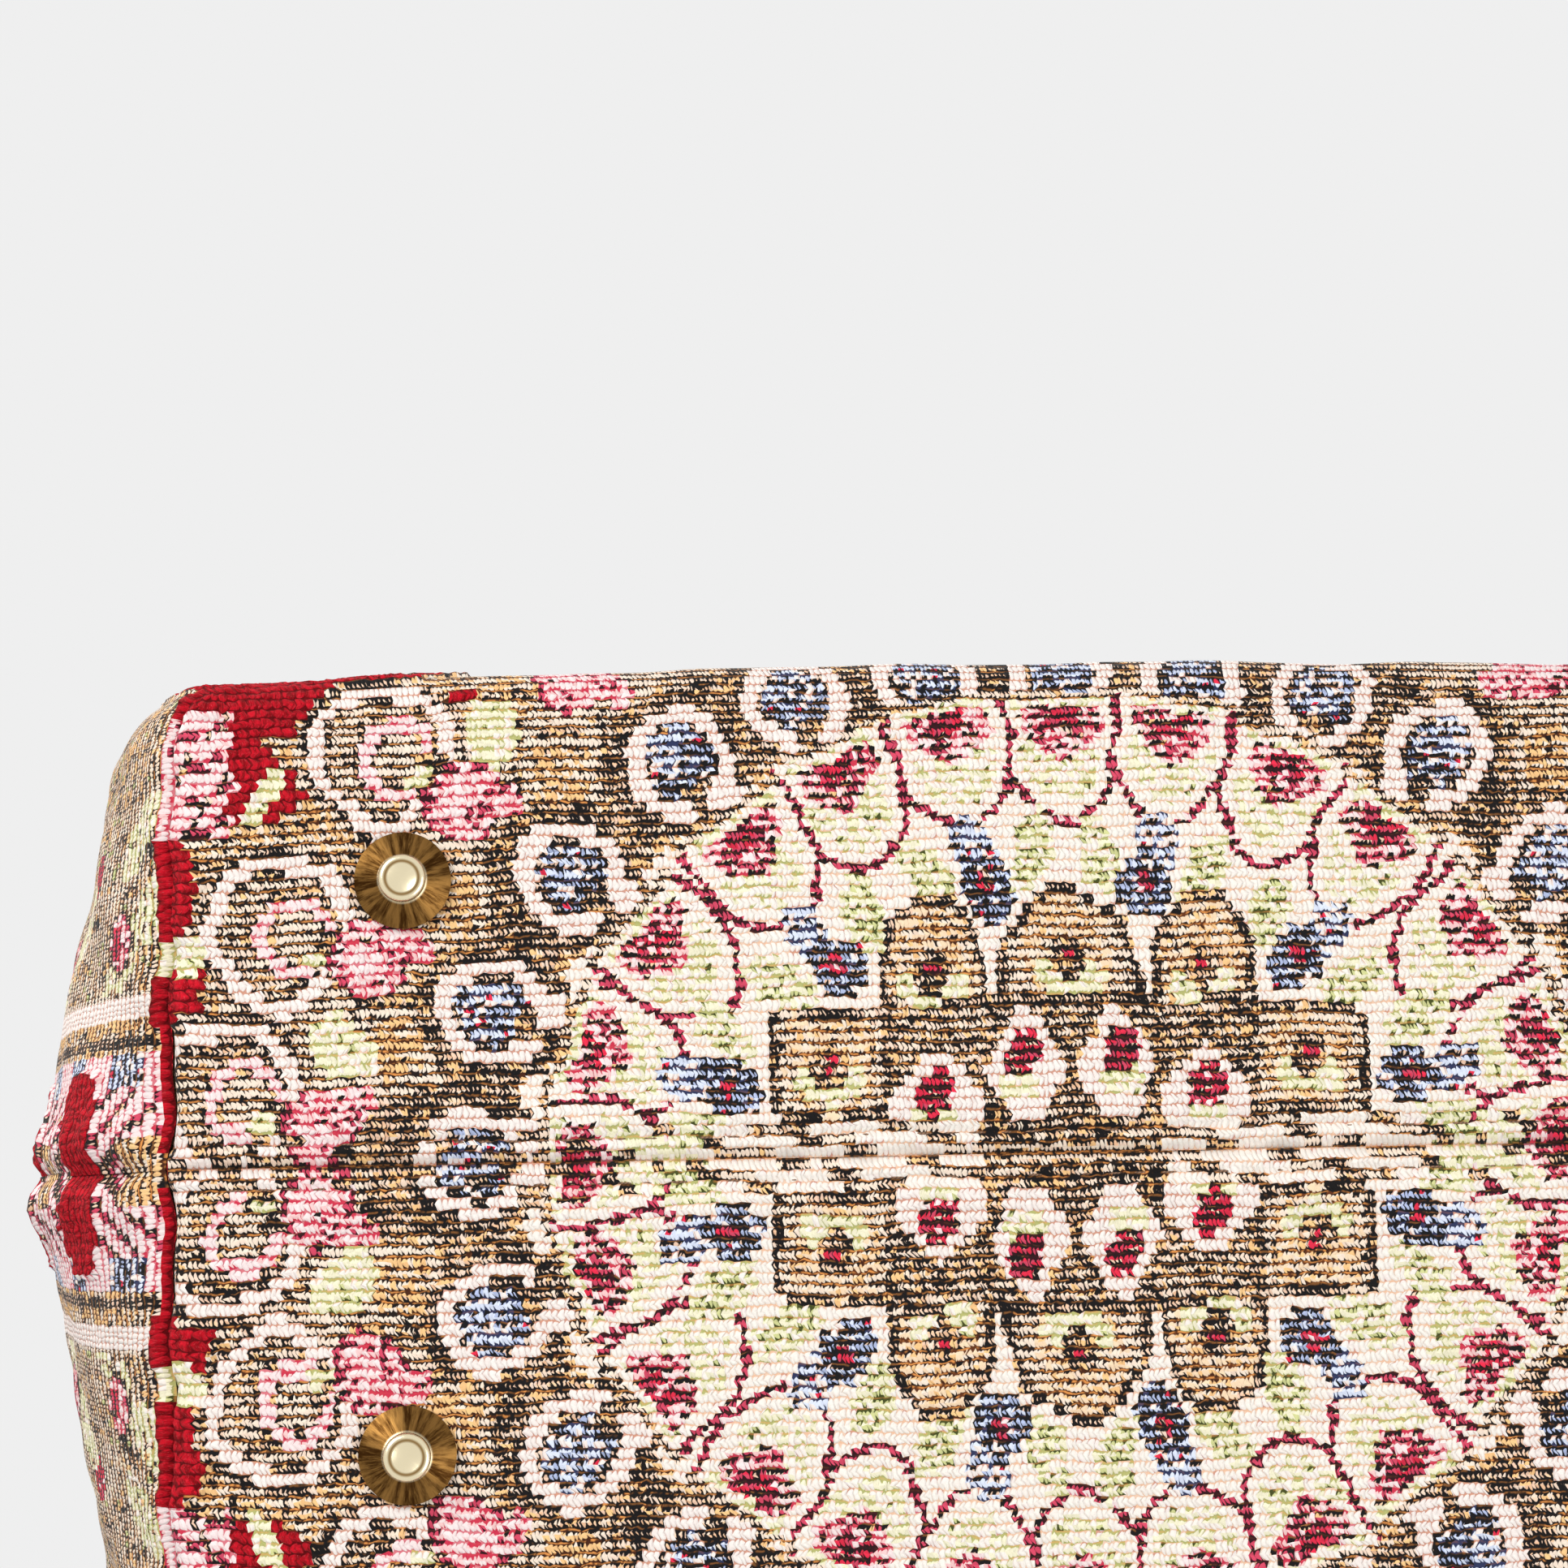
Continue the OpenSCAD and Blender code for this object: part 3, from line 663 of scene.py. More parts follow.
# a scroll: its outline and its eye, and the limits of both for each yarn
scroll = dict(
    wide=12.4, up=(12.6, 2.2), down=(14.4, 1.5), eye=(-2.8, -0.6, 6.6, 7.0),
    rims=((1.0, "ivory"), (0.79, "black"), (0.73, "hatch")),
    curl=((0.90, 1.12, "dark"), (0.95, 1.0, "blush"), (0.95, 0.66, "dark"), (0.95, 0.56, "tan")),
    tip=(-8.75, -2.4, 3.25, 1.3), leaf=(-6.5, -4.8, 2.8, 1.6),
)

# stripes of the end walls: from and to which distance from the side seam, yarn
# and where they are broken: slant, shift, period, from and to which part of it, share
unbroken = (0, 0, 1, -1, 2, 1)
wallStripes = (
    (62, 999, "gold", 1, 0, 9, -1, 4, 1),
    (62, 999, "black", 1, 0, 9, -1, 1.8, 0.75),
)
borderStripes = (
    (-1, 30, "tan", *unbroken),
    (25.5, 29, "ivory", *unbroken),
    (24.4, 25.5, "black", *unbroken),
    (20, 25, "gold", *unbroken),
    (21.0, 22.8, "black", *unbroken),
    (-1, 19.5, "blush", *unbroken),
    (14, 19.5, "sky", 0, -4, 21, -1, 10, 1),
)
innerStripes = (
    (3, 14, "crimson", 1.2, 0, 7, -1, 2.4, 1),
    (3, 14, "black", 1.2, 0, 7, -1, 0.9, 1),
)
seamStripes = (
    (-1, 5, "blush", *unbroken),
    (-1, 5, "black", 2, 0, 8, -1, 3.6, 1),
    (-1, 5, "crimson", 2, 0, 8, 6.2, 9, 1),
    (-1, 6, "gold", 0, 0, 42, -1, 9, 1),
    (-1, 7, "pile", 0, 0, 42, 16, 30, 1),
)


def paintCarpet(u, v, fineV, row, half, rng):
    n = len(u)
    a = np.abs(u) + 0.5 * np.sin(v * 0.61 + 0.4) * np.sin(u * 0.17)  # the weave's small unevenness
    repeat, stretch = carpet["repeat"], carpet["stretch"]

    def fromMedal(v):
        return np.abs((v + repeat / 2) % repeat - repeat / 2) + 0.4 * np.sin(u * 0.43)

    b, bFine = fromMedal(v), fromMedal(fineV)
    kind = np.full(n, yarnNames.index("pile"))
    chance = rng.random((n, 3))
    some = chance[:, 2]

    def paint(mask, name):
        kind[mask] = yarnNames.index(name)

    def local(place, outward=True, thin=False):  # along a motif, and outwards from the medallion
        cu, cv = place
        nx, ny = (cu / stretch ** 2, cv) if outward else (0.0, 1.0)
        size = math.hypot(nx, ny) or 1.0
        nx, ny = nx / size, ny / size
        du, dv = a - cu, (bFine if thin else b) - cv
        return du * ny - dv * nx, du * nx + dv * ny

    def oval(s, t, cs, ct, rs, rt, turn=0.0):
        c, w = math.cos(turn), math.sin(turn)
        ds, dt = s - cs, t - ct
        return np.hypot((ds * c + dt * w) / rs, (dt * c - ds * w) / rt)

    def bar(s, t, cs, ct, rs, rt):
        return (np.abs(s - cs) < rs) & (np.abs(t - ct) < rt)

    def stamp(s, t, ovals, within=True):
        for name, cs, ct, rs, rt, turn, share in ovals:
            paint(within & (oval(s, t, cs, ct, rs, rt, turn) < 1) & (some < share), name)

    # ground rings, from outside in
    reach = np.hypot(a / stretch, b)
    around = np.arctan2(b, a / stretch)
    step = 2.2 * np.sin(around * 14) + 1.2 * np.sin(around * 31)
    jag = np.where(b % 13 < 6.5, 1.6, -1.2) + np.where((b + 2) % 5 < 2.5, 0.8, -0.6)
    cornerAt, cornerFrom = carpet["redCorner"]
    topAt, topFrom = carpet["redTop"]
    edge = np.interp(b, *carpet["redEdge"]) + 0.4 * jag
    red = np.where(b < cornerAt, a > edge, a > cornerFrom + 1.6 * jag)
    red |= (b > topAt) & (a > topFrom + 3 * jag)
    paint(~red, "gold")
    paint(~red & (some < 0.35), "tan")
    paint(~red & (row % 3 == 0) & (some < 0.6), "dark")
    for limit, uneven, name, share in carpet["rings"]:
        paint((reach < limit + uneven * step) & (some < share), name)

    for place in carpet["tanBoxes"]:
        s, t = local(place, False)
        inside = bar(s, t, 0, 0, 7.5, 8)
        paint(inside, "tan")
        paint(bar(s, t, 0, 0, 4.5, 5), "gold")
        paint(inside & ((np.abs(s) > 6.4) | (np.abs(t) > 7)), "dark")
    for place in carpet["greenBits"]:
        stamp(*local(place), motifs["greenBit"])

    # curled scrolls, round above and tapered below
    for place in carpet["scrolls"]:
        s, t = local(place, False)
        (up, upBend), (down, downBend) = scroll["up"], scroll["down"]
        bend = np.where(t > 0, upBend, downBend)
        outer = (np.abs(s) / scroll["wide"]) ** bend + (np.abs(t) / np.where(t > 0, up, down)) ** bend
        outer = outer ** (1 / bend)
        inner = oval(s, t, *scroll["eye"])
        paint(outer < 1.15, "hatch")
        paint((outer < 1.09) & ((s > 0) | (t > 6)), "black")
        for limit, name in scroll["rims"]:
            paint(outer < limit, name)
        paint((outer < 0.74) & (t > 6) & (row % 2 == 0) & (np.abs(s) < 4), "dark")
        for limit, eye, name in scroll["curl"]:
            paint((outer < limit) & (inner < eye), name)
        paint((outer < 0.95) & bar(s, t, *scroll["tip"]), "dark")
        paint((outer < 0.80) & (oval(s, t, *scroll["leaf"]) < 1), "leaf")

    for place in carpet["pinkFlowers"]:
        stamp(*local(place), motifs["pinkFlower"])

    # blue flowers of the dark band, each in a light horseshoe
    for place in carpet["bandFlowers"]:
        s, t = local(place)
        stamp(s, t, motifs["bandFlower"])
        paint(bar(s, t, 0, -7.7, 2.4, 3.3), "dark")
        stamp(s, t, motifs["bandTuft"])

    # scalloped petals round the field
    def inPetal(s, t, wide, low):
        fall = np.clip(-t / low, 0, 1)
        return (np.abs(s) < wide * (1 - fall ** 2) ** 0.62) & (t > -low) & (t < 8.5)

    for place in carpet["petals"]:
        s, t = local(place, thin=True)
        rim = inPetal(s, t, 10.6, 14.8)
        taper = np.clip((t + 4.2) / 5.5, 0, 1) ** 0.8
        bloom = (np.abs(s) < 7.0 * taper) & (t < 5.6 - 0.12 * np.abs(np.abs(s) - 3.4) ** 1.6)
        paint(rim, "crimson")
        paint(inPetal(s, t, 9.3, 13.3), "cream")
        paint(inPetal(s, t, 7.6, 11.0) & (some < 0.66) & ((t > 4.4) | (t < -1.0)), "leaf")
        paint(bloom, "pink")
        paint(bloom & (half < 0.5) & (some < 0.34), "black")
        paint(bloom & (np.abs(s) < 3.0 * taper) & (t > 0.8), "heart")
        paint(bloom & (np.abs(s) < 6.0 * taper) & (some > 0.80), "crimson")
        paint(rim & (t > 7.0), "hatch")

    # buds between the petals and the middle
    for place in carpet["buds"]:
        stamp(*local(place), motifs["bud"])

    # palmettes: a box, a dome and a spire, each with an eye; shape(c) is c inside the outline
    def palmette(shape, eye):
        inner = shape(1.5)
        paint(shape(0.0), "black")
        paint(inner, "tan")
        stamp(a - eye[0], b - eye[1], motifs["palmetteEye"], inner)

    boxU, boxV = carpet["boxPalmette"]
    domeU, domeV = carpet["domePalmette"]

    def box(c):
        return bar(a, b, boxU, boxV, 10.2 - c, 9.4 - c) & (np.abs(a - boxU) + np.abs(b - boxV) < 17.5 - 1.4 * c)

    def dome(c):
        top = np.sqrt(np.clip(1 - ((b - domeV) / (12.0 - c)) ** 2, 0, 1))
        inside = np.abs(a - domeU) < (9.0 - c) * np.where(b > domeV, top, 1.0)
        return inside & (b > 23.0 + c) & (b < 42.0 - c)

    def spire(c):
        lean = np.clip((b - 27.0) / (16.6 - c), 0, 1)
        return (a < (12.4 - c) * (1 - lean ** 2.2) ** 0.7) & (b > 24.0 + c)

    centre = (a < 32) & (b < 25)
    paint(centre, "dark")
    paint(centre & (some < 0.45), "hatch")
    palmette(box, (boxU, boxV))
    palmette(dome, (domeU, domeV - 0.5))
    palmette(spire, (0.0, 31.0))

    # light shields with a red bud, round the dark star in the middle
    for cu, cv, wide, low, high, bud, taper in carpet["shields"]:
        s, t = a - cu, b - cv
        roof = np.clip((t - low) / (high - low), 0, 1)
        walls = wide * (1 - np.clip(roof - 0.45, 0, 1) / 0.62) * (0.3 + 0.7 * np.clip((t - low) / taper, 0, 1))
        paint((np.abs(s) < walls + 1.3) & (t > low - 1.2) & (t < high + 1.2), "dark")
        paint((np.abs(s) < walls) & (t > low) & (t < high), "ivory")
        stamp(s - bud[0], t - bud[1], motifs["shieldBud"])
    starTo, starTall = carpet["star"]
    paint((a < starTo) & (b < starTall), "dark")
    paint((a < 2.4 - 0.13 * b) & (b < 17), "dark")
    paint((a < starTo) & (b < 2.6) & (some < 0.6), "tan")

    # broken runs of yarn along the bottom seam
    seamTall, seamTo = carpet["seamBand"]
    runs = np.sin(u * 0.31 + 2.1 * row) + 0.6 * np.sin(u * 0.83 + row)
    bySeam = (b < seamTall) & (v < cloth["foldAt"])
    middle = (a > starTo) & (a < seamTo) & bySeam
    paint(middle, "cream")
    paint(middle & (runs > 0.25), "tan")
    paint(middle & (runs > 0.75), "dark")
    paint((a > seamTo) & bySeam & (runs > 0.9), "dark")

    # light flower and green leaves on the red at each corner
    s, t = local(carpet["cornerFlower"], False)
    flower = (np.abs(s) < 6.4 - 0.8 * np.sin(t * 0.9)) & (t > -9.8) & (t < 11.6)
    veins = np.sin(t * 1.1 + 0.5 * s)
    paint(flower, "blush")
    paint(flower & (veins > 0.35), "pink")
    paint(flower & (veins > 0.80), "crimson")
    paint(flower & (np.sin(t * 0.55 + 0.9 * s) > 0.93), "black")
    for place, name in carpet["cornerLeaves"]:
        stamp(*local(place, False), motifs[name])

    # end walls: ribbed ground with leaves, then the border beside the side seam
    e = cloth["sideSeam"] - np.abs(u)
    w = v - cloth["foldAt"]
    wall = (np.abs(u) > cloth["baseHalf"] - 5) & (v > cloth["foldAt"])

    def stripes(table):
        for low, high, name, slant, shift, period, start, stop, share in table:
            part = (w + slant * e + shift) % period
            paint(wall & (e > low) & (e < high) & (part > start) & (part < stop) & (some < share), name)

    strokes = np.sin(0.36 * w + 0.35 * e) + np.sin(0.15 * w - 0.8 * e)
    for limit, name in ((-9, "sage"), (0.7, "gold"), (1.1, "hatch"), (1.5, "dark")):
        paint(wall & (strokes > limit), name)
    stripes(wallStripes)
    for j in range(carpet["wallRepeats"]):
        stamp(e, w - carpet["wallRepeat"] * j, motifs["endWall"], wall)
    stripes(borderStripes)
    paint(wall & (e < 19.5) & (e > 15.5) & ((w - 4) % 21 < 10) & ((w + e) % 4 < 1.6), "navy")
    stripes(innerStripes)
    paint(wall & (e < 17) & (np.abs((w - 17) % 42 - 8) < 9 - 0.45 * np.abs(e - 9)), "pile")
    stripes(seamStripes)
    hem = wall & (fineV - cloth["foldAt"] < np.where(e < 24, 0.6, 1.8)) & (e > 3)  # the base's edge, turned up
    light = hem & (e > 55) & (e < 77)
    paint(hem, "pile")
    paint(hem & (e > 32) & (e < 38), "leaf")
    paint(light, "blush")
    paint(light & (np.sin(e * 1.1) > 0.35), "pink")

    for name, swaps in strays.items():
        mine = kind == yarnNames.index(name)
        low = 0.0
        for other, share in swaps:
            paint(mine & (chance[:, 0] >= low) & (chance[:, 0] < low + share), other)
            low += share
    rows = dict(lower=half < 0.5, upper=(half > 0.5) & (v < cloth["foldAt"]), second=row % 2 == 0)
    for name, which, low, high, other in halfRowStrays:
        mine = (kind == yarnNames.index(name)) & rows[which]
        paint(mine & (chance[:, 1] >= low) & (chance[:, 1] < high), other)
    return kind, chance[:, 1]


# sheets start as plain grids, with a column and a row share for each vertex


def gridShares(piece):
    flat = np.empty(len(piece.data.vertices) * 3)
    piece.data.vertices.foreach_get("co", flat)
    flat = flat.reshape(-1, 3) + 0.5
    return flat[:, 0], flat[:, 1]


def gridMesh(name, columns, rows):
    bpy.ops.object.select_all(action="DESELECT")
    bpy.ops.mesh.primitive_grid_add(x_subdivisions=columns, y_subdivisions=rows, size=1)
    piece = bpy.context.object
    piece.name = name
    piece.data.polygons.foreach_set("use_smooth", np.ones(len(piece.data.polygons), bool))
    return piece


def faceCorners(mesh):
    corners = np.empty(len(mesh.polygons) * 4, int)
    mesh.polygons.foreach_get("vertices", corners)
    return corners.reshape(-1, 4)


def setPlaces(piece, place, turned=False):  # in millimetres; turned is half a turn about Z
    if turned:
        place[:, :2] *= -1
    piece.data.vertices.foreach_set("co", (place * mm).ravel())
    piece.data.update()


def alongNormals(piece, place, lift):
    setPlaces(piece, place)
    normals = np.empty(len(piece.data.vertices) * 3)
    piece.data.vertices.foreach_get("normal", normals)
    return place + normals.reshape(-1, 3) * lift[:, None]


def weld(outward=False):  # the seams of the active piece
    bpy.ops.object.mode_set(mode="EDIT")
    bpy.ops.mesh.select_all(action="SELECT")
    bpy.ops.mesh.remove_doubles(threshold=0.00002)
    if outward:
        bpy.ops.mesh.normals_make_consistent(inside=False)
    bpy.ops.object.mode_set(mode="OBJECT")


def clothLines():  # columns and rows of the cut, and the count of weave rows at each
    half, fold = cloth["baseHalf"], cloth["foldAt"]
    ends = np.linspace(half, cloth["sideSeam"], cloth["endCells"] + 1)
    us = np.concatenate([-ends[::-1], np.linspace(-half, half, cloth["baseCells"] + 1)[1:-1], ends])
    base, wall, rows = cloth["baseHalfRows"], cloth["wallHalfRows"], cloth["wallRows"]
    fine = fold + fold / base * np.arange(1, wall + 1)
    upper = np.linspace(fine[-1], cloth["topAt"], rows + 1)[1:]
    vs = np.concatenate([np.linspace(0, fold, base + 1), fine, upper])
    counts = np.concatenate([np.arange(base + wall + 1) / 2, (base + wall) / 2 + np.arange(1, rows + 1)])
    return us, vs, counts


def cutNotches(mesh, notch):  # the two corners that make the grid a T
    bpy.ops.object.mode_set(mode="EDIT")
    bpy.ops.mesh.select_mode(type="FACE")
    bpy.ops.mesh.select_all(action="DESELECT")
    bpy.ops.object.mode_set(mode="OBJECT")
    mesh.polygons.foreach_set("select", notch)
    bpy.ops.object.mode_set(mode="EDIT")
    bpy.ops.mesh.delete(type="FACE")
    bpy.ops.object.mode_set(mode="OBJECT")


def makePanel(name, turned, weave, chenille):
    us, vs, counts = clothLines()
    half, fold = cloth["baseHalf"], cloth["foldAt"]
    panel = gridMesh(name, len(us) - 1, len(vs) - 1)
    mesh = panel.data

    def gridLines():
        across, up = gridShares(panel)
        return np.rint(across * (len(us) - 1)).astype(int), np.rint(up * (len(vs) - 1)).astype(int)

    column, row = gridLines()
    corners = faceCorners(mesh)
    cutNotches(mesh, (np.abs(us[column[corners]].mean(1)) > half) & (vs[row[corners]].mean(1) < fold))
    column, row = gridLines()
    corners = faceCorners(mesh)
    u, v = us[column], vs[row]

    # colours are set by whole rows of weave, before the cloth is folded
    cu, cv = u[corners].mean(1), v[corners].mean(1)
    count = counts[row[corners]].mean(1)
    whole = np.floor(count)
    rowLines = np.interp(whole + 0.5, counts, vs)
    kind, chance = paintCarpet(cu, rowLines, cv, whole, count - whole, np.random.default_rng(cloth["seed"]))
    isPile = kind == yarnNames.index("pile")

    # fold it, let the beads stray, and raise the pile
    onBase = (v <= fold) & (np.abs(u) <= half)
    rng = np.random.default_rng(cloth["seed"] + 1)
    start, over = cloth["calm"]
    free = np.where(onBase, half - np.abs(u), cloth["sideSeam"] - np.abs(u))
    free = np.minimum(np.minimum(free, v), np.minimum(np.abs(v - fold), cloth["topAt"] - v))
    free = np.clip((free - start) / over, 0, 1)
    lean = np.where(row % 2 == 1, cloth["lean"], -cloth["lean"]) * (v < fold)
    u = u + free * (lean + cloth["stray"] * (2 * rng.random(len(u)) - 1))
    v = v + free * (wave(u, v, cloth["wander"]) + cloth["stray"] * (2 * rng.random(len(u)) - 1))
    place = np.where(onBase[:, None], foldBase(u, v), foldWall(u, np.maximum(v, fold)))
    toTee = teeDistance(np.abs(u), v, onBase)
    wander = np.exp(-((toTee / cloth["wanderTo"]) ** 2)) * wave(place[:, 1], 0, cloth["seamWander"])
    place[:, 0] += np.sign(u) * wander
    raised = np.zeros(len(u))
    raised[corners[isPile].ravel()] = cloth["pileLift"]
    raised = raised * np.clip(toTee / 2, 0, 1) * (0.6 + 0.8 * rng.random(len(u)))
    place = alongNormals(panel, place, clothRelief(u, v) + raised)
    setPlaces(panel, place, turned)

    uv = mesh.uv_layers[0]
    uv.name = "cloth"
    loops = np.empty(len(mesh.loops), int)
    mesh.loops.foreach_get("vertex_index", loops)
    across, up, _ = cloth["mapCells"]
    uv.data.foreach_set("uv", np.stack([column[loops] / across, counts[row[loops]] / up], 1).ravel())
    bead, gap = (np.array([linear(yarns[k][i]) for k in yarnNames])[kind] for i in (0, 1))
    thread, fine, spread = (np.array([yarns[k][i] for k in yarnNames])[kind] for i in (2, 3, 4))
    bead = np.clip(bead * (1 + spread * (2 * chance - 1))[:, None], 0, 1)
    for label, colour, extra in (("yarn", bead, thread), ("gap", gap, fine)):
        layer = mesh.color_attributes.new(name=label, type="FLOAT_COLOR", domain="CORNER")
        layer.data.foreach_set("color", np.repeat(np.column_stack([colour, extra]), 4, axis=0).ravel())
    mesh.materials.append(weave)
    mesh.materials.append(chenille)
    mesh.polygons.foreach_set("material_index", isPile.astype(np.int32))
    mesh.update()
    print(name, len(mesh.polygons), "cells,", int(isPile.sum()), "of pile")
    return panel


weaveSet = dict(
    thread=(240, 156, 80), inside=(150, 112, 82), fibre=(7.0, 3.0), fibreToneShade=0.84, fibreToneHighlight=1.12,
    rough=0.86, shine=0.25, sheen=0.06, fibreHeight=0.25, bump=(0.0005, 0.6),
)


def clothPlace(tree, cells):
    uv = newNode(tree, "UVMap")
    uv.uv_map = "cloth"
    return mapped(tree, uv.outputs[0], cells)


def cornerColour(tree, layer):
    node = newNode(tree, "VertexColor")
    node.layer_name = layer
    return node.outputs


def plainInside(tree, colour):
    back = newNode(tree, "NewGeometry").outputs["Backfacing"]
    return mixColour(tree, back, colour, rgba(weaveSet["inside"]))


def makeWeaveMaterial(beads):
    material, tree, bsdf = newMaterial("carpetWeave")
    place = clothPlace(tree, cloth["mapCells"])
    yarn, gap = cornerColour(tree, "yarn"), cornerColour(tree, "gap")
    made = useGroup(tree, beads, Place=place, Fine=gap["Alpha"])
    # the gap colour fills the low ground between the beads: partly the yarn there, partly painted shade
    colour = mixColour(tree, made["Bead"], gap["Color"], yarn["Color"])
    colour = mixColour(tree, times(tree, made["Row"], yarn["Alpha"]), colour, rgba(weaveSet["thread"]))
    # fibre noise: random tone that is also darker in the hollows and lighter on the ridges of the fibre bump, so
    # partly painted shade and painted highlight
    fibre = noise(tree, place, *weaveSet["fibre"])
    shades = [(weaveSet[k],) * 3 + (1,) for k in ("fibreToneShade", "fibreToneHighlight")]
    colour = mixColour(tree, 1.0, colour, mixColour(tree, fibre, *shades), "MULTIPLY")
    feedAll(tree, bsdf, {
        "Base Color": plainInside(tree, colour),
        "Roughness": weaveSet["rough"],
        "Specular IOR Level": weaveSet["shine"],
        "Sheen Weight": weaveSet["sheen"],
    })
    bump(tree, times(tree, fibre, weaveSet["fibreHeight"], made["Height"]), *weaveSet["bump"], bsdf)
    return material


chenilleSet = dict(
    tuftCells=(256, 256, 1), slant=35, stretch=(1.0, 0.6, 1.0),
    tufts=(1.25, 3.0, 0.6), tuftEdge=(0.36, 0.58), tuftShade=(166, 7, 22),
    hairs=(6.0, 4.0, 0.65), hairEdge=(0.54, 0.74), hairHighlight=(240, 96, 102),
    gapShadeEdge=(0.05, 0.42), gap=(116, 3, 13),
    rough=0.95, shine=0.1, sheen=0.18, sheenTint=(255, 120, 120),
    tuftHeight=0.7, hairHeight=0.5, beadHeight=0.8, bump=(0.0013, 1.0),
)


def makeChenilleMaterial(beads):
    look = chenilleSet
    material, tree, bsdf = newMaterial("redChenille")
    slanted = mapped(tree, clothPlace(tree, cloth["mapCells"]), look["stretch"], look["slant"])
    tufts, hairs = noise(tree, slanted, *look["tufts"]), noise(tree, slanted, *look["hairs"])
    made = useGroup(tree, beads, Place=clothPlace(tree, look["tuftCells"]), Fine=0.0)
    colour = cornerColour(tree, "yarn")["Color"]
    # painted shade: darker red where the tufts are low
    colour = mixColour(tree, ramp(tree, tufts, *look["tuftEdge"]), rgba(look["tuftShade"]), colour)
    # painted highlight: pale pink on the raised hairs
    colour = mixColour(tree, ramp(tree, hairs, *look["hairEdge"]), colour, rgba(look["hairHighlight"]))
    # painted shade: darker red in the gaps between the beads
    colour = mixColour(tree, ramp(tree, made["Height"], *look["gapShadeEdge"]), rgba(look["gap"]), colour)
    feedAll(tree, bsdf, {
        "Base Color": plainInside(tree, colour),
        "Roughness": look["rough"],
        "Specular IOR Level": look["shine"],
        "Sheen Weight": look["sheen"],
        "Sheen Tint": rgba(look["sheenTint"]),
    })
    height = times(tree, tufts, look["tuftHeight"], times(tree, hairs, look["hairHeight"]))
    height = times(tree, made["Height"], look["beadHeight"], height)
    bump(tree, height, *look["bump"], bsdf)
    return material


# leather throats between the panels and the mouth frame

throat = dict(
    columns=230, rows=36, foot=183.4, slotY=4.6, slotZ=235.5, gableX=154.2, gableY=8.1, gableZ=231.8,
    slotX=138, cornerX=8, dropFrom=132, dropOver=12,
    flare=(6 / 7, 1.7),  # the foot's outward lean ends at this share of the height
    gather=1.1, pleats=(23, 1.1, 31), crimps=(0.4, 9.7, 2), calm=(12, 30, 0.12), sag=(0.9, 47, 0.6),
    apart=0.05,
)


def makeThroat(name, turned, leather):
    piece = gridMesh(name, throat["columns"], throat["rows"])
    across, s = gridShares(piece)
    side, half, c = cloth["sideSeam"], cloth["baseHalf"], cloth["corner"]
    u = (across * 2 - 1) * side
    a = np.abs(u)
    foot = foldWall(u, np.full(len(u), cloth["topAt"]))
    corner = np.clip((a - half + c) / c, 0, 1)
    gable = np.clip((a - half) / c, 0, 1)
    q = np.clip((side - a) / (side - half - c), 0, 1)
    slotX, cornerX = throat["slotX"], throat["cornerX"]
    headX = np.minimum(a, half - c) * slotX / (half - c) + cornerX * corner
    headX += (throat["gableX"] - slotX - cornerX) * gable
    headY = (throat["slotY"] + (throat["gableY"] - throat["slotY"]) * corner) * q
    drop = np.clip((a - throat["dropFrom"]) / throat["dropOver"], 0, 1)
    headZ = throat["slotZ"] + (throat["gableZ"] - throat["slotZ"]) * drop
    flareTo, flarePower = throat["flare"]
    out = np.maximum(1 - s / flareTo, 0) ** flarePower
    place = np.stack([
        foot[:, 0] + (np.sign(u) * headX - foot[:, 0]) * s,
        -headY + (foot[:, 1] + headY) * out,
        throat["foot"] + (headZ - throat["foot"]) * s,
    ], 1)
    pitch, shift, shiftPitch = throat["pleats"]
    crimp, crimpPitch, crimpTurn = throat["crimps"]
    pleats = np.sin(2 * np.pi * u / pitch + shift * np.sin(u / shiftPitch))
    pleats += crimp * np.sin(2 * np.pi * u / crimpPitch + crimpTurn * s)
    calmFrom, calmOver, least = throat["calm"]
    calm = np.clip((half - calmFrom - a) / calmOver, least, 1)
    sag, sagPitch, sagPhase = throat["sag"]
    lift = throat["gather"] * pleats * calm * np.sin(np.pi * np.clip(s, 0, 1)) ** 1.2
    lift += sag * np.sin(np.pi * s) * np.sin(u / sagPitch + sagPhase) * calm
    place = alongNormals(piece, place, lift)
    place[:, 1] = np.minimum(place[:, 1], -throat["apart"])
    setPlaces(piece, place, turned)
    piece.data.materials.append(leather)
    return piece


def aroundBag(share):  # both panels, one after the other: place round the bag, place on the panel, is it the front
    side = cloth["sideSeam"]
    u = (share * 2 - 1) * 2 * side
    front = np.abs(u) <= side
    return u, np.clip(np.where(front, u, np.sign(u) * 2 * side - u), -side, side), front


piping = dict(radius=1.5, z=184.0, steps=460, sides=10, look=0.5, sunk=0.2)


